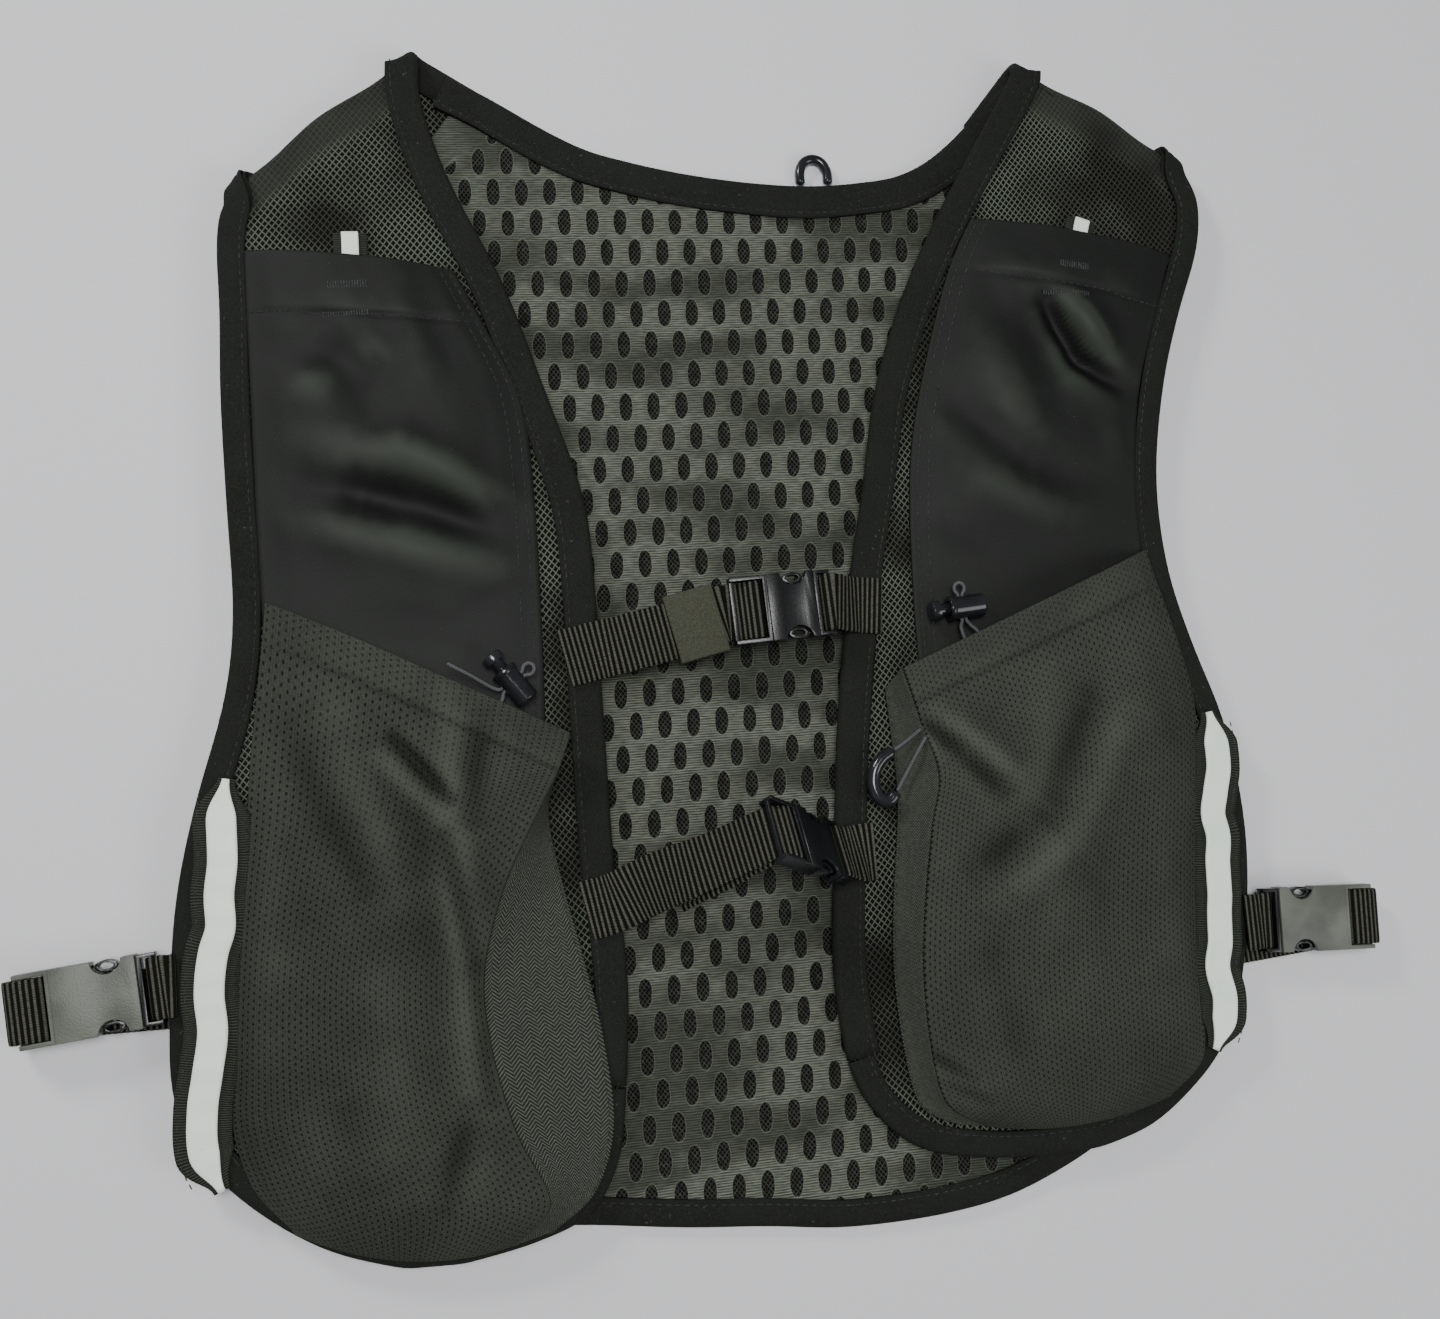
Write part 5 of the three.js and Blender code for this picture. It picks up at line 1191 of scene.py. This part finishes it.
def tapePiece(name, route, width, height, paint, taper, wobble, **rest):
    flat = np.array(route) * percent
    path = smoothPath(np.column_stack([flat, np.zeros(len(flat))]), 1.5)
    path = onFront(path[:, :2], height)
    along = heading(path)
    across = unit(np.stack([-along[:, 1], along[:, 0], np.zeros(len(path))], 1))
    run = np.linspace(0, 1, len(path))
    narrow = np.minimum(1, taper + (1 - taper) * smoothStep(np.minimum(run, 1 - run) / 0.1))
    section = np.broadcast_to(roundedStrip(width, tape["thick"], 0.12), (len(path), 18, 2)).copy()
    section[..., 0] *= narrow[:, None]
    path[:, 2] += np.sin(run * 61) * np.sin(run * 23 + 1) * wobble
    up = unit(np.cross(along, across))
    sweptPiece(name, path, across, up, section, paint=paint, slot=paint, **rest)
    return path, across


def tapes():
    height = bindingHalf + vest["gap"] + tape["thick"] / 2
    for side in sides:
        route = tapeRoutes[side]
        tapePiece(f"tape_backing_{side}", route, tape["width"], height, "grosgrain", 0.3, 0.1,
                  node=f"tape_backing_{side}")
        path, across = tapePiece(f"reflective_tape_{side}", route, tape["stripe"],
                                 height + tape["thick"] + vest["gap"], "reflective", 0.25, 0.15,
                                 node=f"reflective_tape_{side}")
        for letter, sign in (("a", -1), ("b", 1)):
            line = path[4:-4] + across[4:-4] * sign * (tape["width"] / 2 - 1.4) + (0, 0, -0.75)
            stitches(f"tape_backing_{side}_stitches_{letter}", line, (0, 0, 1), slot="grosgrain")


tabs = {"left": {"x": -65.3, "y": 30.7, "turn": 0}, "right": {"x": 75.6, "y": 31.6, "turn": -0.33}}


def pullTab(side):
    tab = tabs[side]
    cos, sin = math.cos(tab["turn"]), math.sin(tab["turn"])
    reach = np.linspace(-tape["tabBite"], tape["tabLength"], 17)
    flat = percent * (tab["x"], tab["y"]) + reach[:, None] * (-sin, cos)
    lift = 1.9 * (1 - smoothStep(reach / (0.8 * tape["tabLength"])))
    base = onFront(flat, overPanel + lift)
    across = np.broadcast_to((cos, sin, 0.0), base.shape)
    up = unit(np.cross(across, np.gradient(base, axis=0)))
    sweptPiece(f"pocket_tab_{side}", base, across, up, roundedStrip(tape["tabWidth"], tape["thick"]),
               paint="grosgrain", slot="grosgrain", node=f"pocket_tab_{side}")
    stripe = base + (0, 0, tape["thick"] + vest["gap"])
    sweptPiece(f"tab_stripe_{side}", stripe, across, up, roundedStrip(tape["tabStripe"], tape["thick"]),
               paint="reflective", slot="reflective", node=f"tab_stripe_{side}")


tapes()
for side in sides:
    pullTab(side)
print("tapes and tabs")


# Buckles: each has a frame with x along the strap to the insert, y across it, and z up through the plate.
buckle = {
    "thick": 6, "wall": 1.3, "bar": 1.6, "sidePlate": 25, "chestPlate": 16,
    "endFrame": 10.4, "ladderFrame": 12.4,
    "insertFrame": 5.8,
}
webbing = {"width": 19, "thick": 1.2, "step": pitches["webbing"] / 4, "ridge": 0.09}
loopRadius = buckle["bar"] / math.sqrt(2) + vest["gap"] + webbing["thick"] / 2
slotReach = loopRadius + webbing["thick"] / 2 + vest["gap"]
barAt = {"insert": buckle["insertFrame"] - 0.8, "end": buckle["endFrame"] - 0.8, "ladder": slotReach}


def frameOf(at, along, across=None):
    x = unit(np.array(along, float))
    y = np.array(across or (-along[1], along[0], 0), float)
    y = unit(y - x * np.dot(y, x))
    return {"at": np.asarray(at, float), "axes": np.stack([x, y, np.cross(x, y)])}


def inFrame(place, points):
    return np.asarray(points, float) @ place["axes"] + place["at"]


def besideEdge(side, row, clear):
    edge = edgeAt(fronts[side]["rows"], "outer", row)
    reach = buckle["sidePlate"] / 2 + buckle["insertFrame"] + clear
    return (edge[0] + (-reach if side == "left" else reach), edge[1], shoulderTop - 0.15)


sidePlate, chestPlate = buckle["sidePlate"], buckle["chestPlate"]
places = {
    "side_buckle_left": (frameOf(besideEdge("left", 5.2, 2.6), (1, 0.09, 0)), sidePlate),
    "side_buckle_right": (frameOf(besideEdge("right", 4.8, 6), (-1, 0.05, 0)), sidePlate),
    "chest_buckle_upper": (frameOf(spot(10.8, 0.4, 6.7), (1, 0.05, 0)), chestPlate),
    "chest_buckle_lower": (frameOf(spot(10, -19.3, 15.7), (25, -10, -19), (-2, 17, -9.5)), chestPlate),
}


def roundBar(middle, start, end, radius=loopRadius, height=0.0):
    angles = np.radians(np.linspace(start, end, int(math.ceil(abs(end - start) / 45)) + 1))
    return [(middle + radius * math.cos(a), 0, height + radius * math.sin(a)) for a in angles]


def strapPiece(name, points, hints, lifted=0.0, span=(None, None)):
    both = np.hstack([points, unit(hints)])[slice(*span)]
    path, hint = smoothPath(both, webbing["step"])
    along = heading(path)
    up = unit(np.cross(hint, along))
    across = unit(np.cross(along, up))
    path = path + up * lifted
    run = np.arange(len(path)) * webbing["step"]
    section = np.broadcast_to(roundedStrip(webbing["width"], webbing["thick"]), (len(path), 18, 2)).copy()
    ribs = np.sin(run * 2 * math.pi / pitches["webbing"])[:, None]
    section[..., 1] += np.sign(section[..., 1]) * webbing["ridge"] * ribs
    section[:, [0, 8, 9, 17], 0] *= 1 + 0.008 * ribs
    sweptPiece(name, path, across, up, section, paint="webbing", slot="webbing", node=name)
    return path, across, up


# Rows sewn straight across a strap, at distances along it.
def crossStitches(name, strap, at):
    path, across, up = strap
    for number, distance in enumerate(at):
        k = int(clamp(distance / webbing["step"], 1, len(path) - 2))
        share = np.linspace(-0.43, 0.43, 20)[:, None] * webbing["width"]
        line = path[k] + across[k] * share + up[k] * (webbing["thick"] / 2 + 0.1)
        stitches(f"{name}_row_{number + 1}", line, up[k], pitch=2.2, length=1.7, width=0.55, slot="webbing")


def insertStrap(name, place, plate, sewn, sewnAcross):
    bar = plate / 2 + barAt["insert"]
    around = [(bar + 1.6, 0, -loopRadius), *roundBar(bar, 270, 90), (bar + buckle["bar"], 0, loopRadius)]
    points = np.vstack([inFrame(place, around), sewn])
    held = len(around)
    own = place["axes"][1]
    share = clamp((np.arange(len(points)) - held + 1) / (len(points) - held), 0, 1)[:, None]
    return strapPiece(name, points, own * (1 - share) + np.array(sewnAcross, float) * share)


sideSewn = {
    "left": {"across": (-0.09, 1, 0), "reaches": (-0.1, 1.1, 2.5), "row": 5.2, "shift": 1.9},
    "right": {"across": (-0.03, -1, 0), "reaches": (-1.2, 0.4, 1.9), "row": 4.8, "shift": 0.9},
}
sideBackEnds = {"left": (33.4, -5.5), "right": (34.6, 7)}
backRun = vest["floorGap"] + 1.5 * webbing["thick"] - shoulderTop + 0.15


def sideStraps(side):
    place, plate = places[f"side_buckle_{side}"]
    plan = sideSewn[side]
    edge = edgeAt(fronts[side]["rows"], "outer", plan["row"])
    inward = 1 if side == "left" else -1
    flat = np.array([(edge[0] + inward * reach, edge[1] + plan["shift"]) for reach in plan["reaches"]])
    sewn = onFront(flat, overBinding + 2 * vest["gap"])
    insertStrap(f"side_strap_front_{side}", place, plate, sewn, plan["across"])
    bar = -(plate / 2 + barAt["end"])
    reach, drift = sideBackEnds[side]
    radius = (loopRadius - backRun) / 2
    turn = roundBar(bar, 270, 90, radius, backRun + radius)
    down = roundBar(-plate / 2 - buckle["wall"] - slotReach, 90, 0)
    away = [(reach, drift), (reach / 2, 0.7 * drift), (bar / 2, 0.2 * drift)]
    route = [*[(*row, backRun) for row in away], *turn, *down]
    strapPiece(f"side_strap_back_{side}", inFrame(place, route), np.tile(place["axes"][1], (len(route), 1)))


chestStraps = {
    "upper": {"pitch": 0, "sewn": [(-31.4, -2.8), (-25.0, -2.2)],
              "run": [(-22.2, -2.0, 3.8), (-17.8, -1.6, 4.7), (-12.2, -1.1, 4.7), (-6.7, -0.6, 4.7)],
              "tail": [(-2.2, -0.1, 2.8), (-6.7, -0.6, 2.8), (-11.7, -1.1, 2.8)],
              "start": (-0.19, 0.98, 0), "doubled": (2, 4),
              "right": [(21.7, 0.4, 6.2), (24.4, 0.3, 3.7), (28.6, 0.1, 3.5)]},
    "lower": {"pitch": 60, "sewn": [(-30.6, -23.2), (-25.3, -22.7)],
              "run": [(-21.1, -21.9, 5.2), (-16.7, -21.1, 10.0), (-12.2, -20.4, 14.7),
                      (-7.2, -19.6, 18.2)],
              "tail": [(-6.3, -20.1, 15.3), (-11.2, -20.9, 11.7), (-15.0, -21.6, 8.0)],
              "start": (-0.4, 0.91, 0), "doubled": (3, 5),
              "right": [(18.9, -20.4, 6.5), (20.9, -20.4, 4.5), (23.1, -20.4, 3.8)]},
}
layerStep = webbing["thick"] + 2 * vest["gap"]


def ladderRoute(plate, pitch):
    middle = -plate / 2 - buckle["wall"] - barAt["ladder"]
    endBar = -plate / 2 - buckle["ladderFrame"] + buckle["bar"] / 2
    angle = math.radians(pitch)
    onward = np.array([math.cos(angle), 0, math.sin(angle)])
    below = np.array([math.sin(angle), 0, -math.cos(angle)])
    contact = np.array([endBar, 0, 0]) + below * loopRadius
    tail = contact + below * 1.4 * layerStep - onward * 2
    return [contact - onward * 3, contact, *roundBar(middle, 120, -90), tail]


def chestStrap(level):
    plan = chestStraps[level]
    place, plate = places[f"chest_buckle_{level}"]
    ground = onFront(plan["sewn"] * percent, overBinding + vest["gap"] / 2)
    run, tail = [np.array([spot(*row) for row in plan[key]]) for key in ("run", "tail")]
    points = np.vstack([ground, run, inFrame(place, ladderRoute(plate, plan["pitch"])), tail])
    entry, last = len(ground) + len(run), len(points) - 1
    k = np.arange(len(points))
    leaving = clamp((last - k + 3) / (len(tail) + 3), 0, 1)
    share = smoothStep(np.where(k <= entry, k / entry, leaving))[:, None]
    hints = np.array(plan["start"], float) * (1 - share) + place["axes"][1] * share
    strap = strapPiece(f"chest_strap_{level}_left", points, hints)
    crossStitches(f"chest_strap_{level}_sewn", strap, (3, 7.5))
    strap = strapPiece(f"chest_strap_{level}_doubling", points, hints, layerStep, plan["doubled"])
    crossStitches(f"chest_strap_{level}_fold", strap, (2.2, 5.5))
    right = np.array([spot(*row) for row in plan["right"]])
    strap = insertStrap(f"chest_strap_{level}_right", place, plate, right, (0, 1, 0))
    total = len(strap[0]) * webbing["step"]
    crossStitches(f"chest_strap_{level}_end", strap, (total - 2.5, total - 13))


for side in sides:
    sideStraps(side)
for level in ("upper", "lower"):
    chestStrap(level)
print("straps")


# A moulded or sewn piece with rounded edges, from the frame's own solid.
def softened(node, width, paint, segments=2, body="vest"):
    bpy.ops.object.select_all(action="DESELECT")
    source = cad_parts[node]
    piece = bpy.data.objects.new(node + "_piece", source.data.copy())
    bpy.context.collection.objects.link(piece)
    piece.data.materials.clear()
    piece.data.materials.append(finish[paint])
    bpy.context.view_layer.objects.active = piece
    piece.select_set(True)
    bpy.ops.object.mode_set(mode="EDIT")
    bpy.ops.mesh.select_all(action="SELECT")
    bpy.ops.mesh.remove_doubles(threshold=0.00002)
    bpy.ops.mesh.dissolve_limited(angle_limit=math.radians(2))
    bpy.ops.object.mode_set(mode="OBJECT")
    rounding = piece.modifiers.new("rounding", "BEVEL")
    rounding.width = width / 1000
    rounding.segments = segments
    rounding.limit_method = "ANGLE"
    rounding.angle_limit = math.radians(35)
    bpy.ops.object.modifier_apply(modifier=rounding.name)
    bpy.ops.object.shade_smooth_by_angle(angle=math.radians(40))
    piece.select_set(False)
    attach(piece, body)
    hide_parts(node)


for name in places:
    softened(f"{name}_socket", 0.55, "plate" if "side" in name else "frame", segments=3)
    softened(f"{name}_insert", 0.35, "frame")
softened("strap_keeper", 0.45, "keeper")
for side in sides:
    softened(f"cord_lock_barrel_{side}", 0.3, "gloss")
    softened(f"cord_lock_plunger_{side}", 0.25, "gloss", body=f"plunger_{side}")
print("buckles, keeper and cord locks")


# Round cords and wire hooks.
def tubePiece(name, path, diameter, paint, slot, facets=14):
    along = heading(path)
    up = unit(np.cross((0.0, 0.0, 1.0), along))
    across = unit(np.cross(along, up))
    angles = np.linspace(0, 2 * math.pi, facets, endpoint=False)
    ring = np.stack([np.cos(angles), np.sin(angles)], 1) * diameter / 2
    run = distances(path)
    near = np.minimum(run, run[-1] - run)
    size = np.sqrt(1 - (1 - clamp(near / (diameter * 0.35), 0.0, 1.0)) ** 2) * 0.75 + 0.25
    section = ring * size[:, None, None]
    return sweptPiece(name, path, across, up, section, paint=paint, slot=slot, node=name)


lock = {"lift": 7.6, "left": ((-42.8, -3.55), (0.6, -0.8)), "right": ((40.9, -0.6), (1, 0.08))}
loopRoute = [(5.8, -4.6, 0), (5.8, -1.5, 0), (5.8, 1.5, 0), (5.8, 4.4, 0), (6.7, 6, 0.3),
             (6.3, 7.7, 0.6), (4.9, 8.4, 0.7), (3.5, 7.7, 0.6), (3.2, 6, 0.3), (4.2, 4.4, 0),
             (4.2, 1.5, 0), (4.2, -1.5, 0), (4.2, -4.6, 0)]
cordEnds = {
    "left": ([(-44.2, -7.0, 7.1), (-43.7, -6.3, 7.5), (-43.1, -5.8, 7.6)],
             [(-44.4, -5.0, 7.8), (-46.4, -4.5, 9.5), (-48.6, -3.9, 11.7), (-50.6, -3.4, 13.3),
              (-52.5, -2.9, 14.0)]),
    "right": ([(47.0, -3.2, 7.7), (46.2, -2.6, 7.8), (45.1, -2.1, 7.7)],
              [(43.1, -2.1, 7.6), (43.4, -2.8, 7.5), (43.9, -3.4, 7.2)]),
}
cordDiameter = 1.2


def pocketCord(side):
    mouth, along = lock[side]
    at = onFront(mouth * percent, lock["lift"])
    place = frameOf(at, (*along, 0))
    first, last = [[spot(*row) for row in rows] for rows in cordEnds[side]]
    path = smoothPath(np.vstack([first, inFrame(place, loopRoute), last]), 0.5)
    piece = tubePiece(f"pocket_cord_{side}", path, cordDiameter, "elastic", "elastic")


hookLift = 5.9
hookRoute = [(28, -12.2), (25.8, -12.75), (24.1, -13.75), (23.7, -15), (24.6, -16.1), (26.3, -16.35),
             (27.9, -15.65)]
hookPoints = np.array([spot(x, y, hookLift) for x, y in hookRoute])
hookWires = (4.4, 3.4)
hookStrands = (
    ("hook_cord", -2, -1, [(30, -14.15, 6.65), (32, -12.5, 9.45), (33.7, -11.25, 10.85)]),
    ("hook_cord_upper", 1, 0, [(30.7, -11.4, 7.65), (32.8, -10.6, 10.85)]),
)


def pastEnd(before, end):
    return end + unit(end - before) * vest["gap"]


def hooks():
    tubePiece("accessory_hook", smoothPath(hookPoints, 0.6), hookWires[0], "gloss", "hook_plastic", 20)
    for name, before, end, spots in hookStrands:
        strand = [pastEnd(hookPoints[before], hookPoints[end]), *[spot(*row) for row in spots]]
        tubePiece(name, smoothPath(strand, 0.5), cordDiameter, "elastic", "elastic")
    at = backSurface(1, 0.599)
    route = [(-5, 0.6), (-4.9, 5.6), (-3.2, 9), (0, 10.2), (3.1, 9), (4.9, 5.6), (5, 0.8)]
    points = [(at[0] + x, at[1] + y, vest["floorGap"] + 1.7) for x, y in route]
    tubePiece("neck_hook", smoothPath(points, 0.6), hookWires[1], "gloss", "hook_plastic", 20)


for side in sides:
    pocketCord(side)
hooks()
print("cords and hooks")
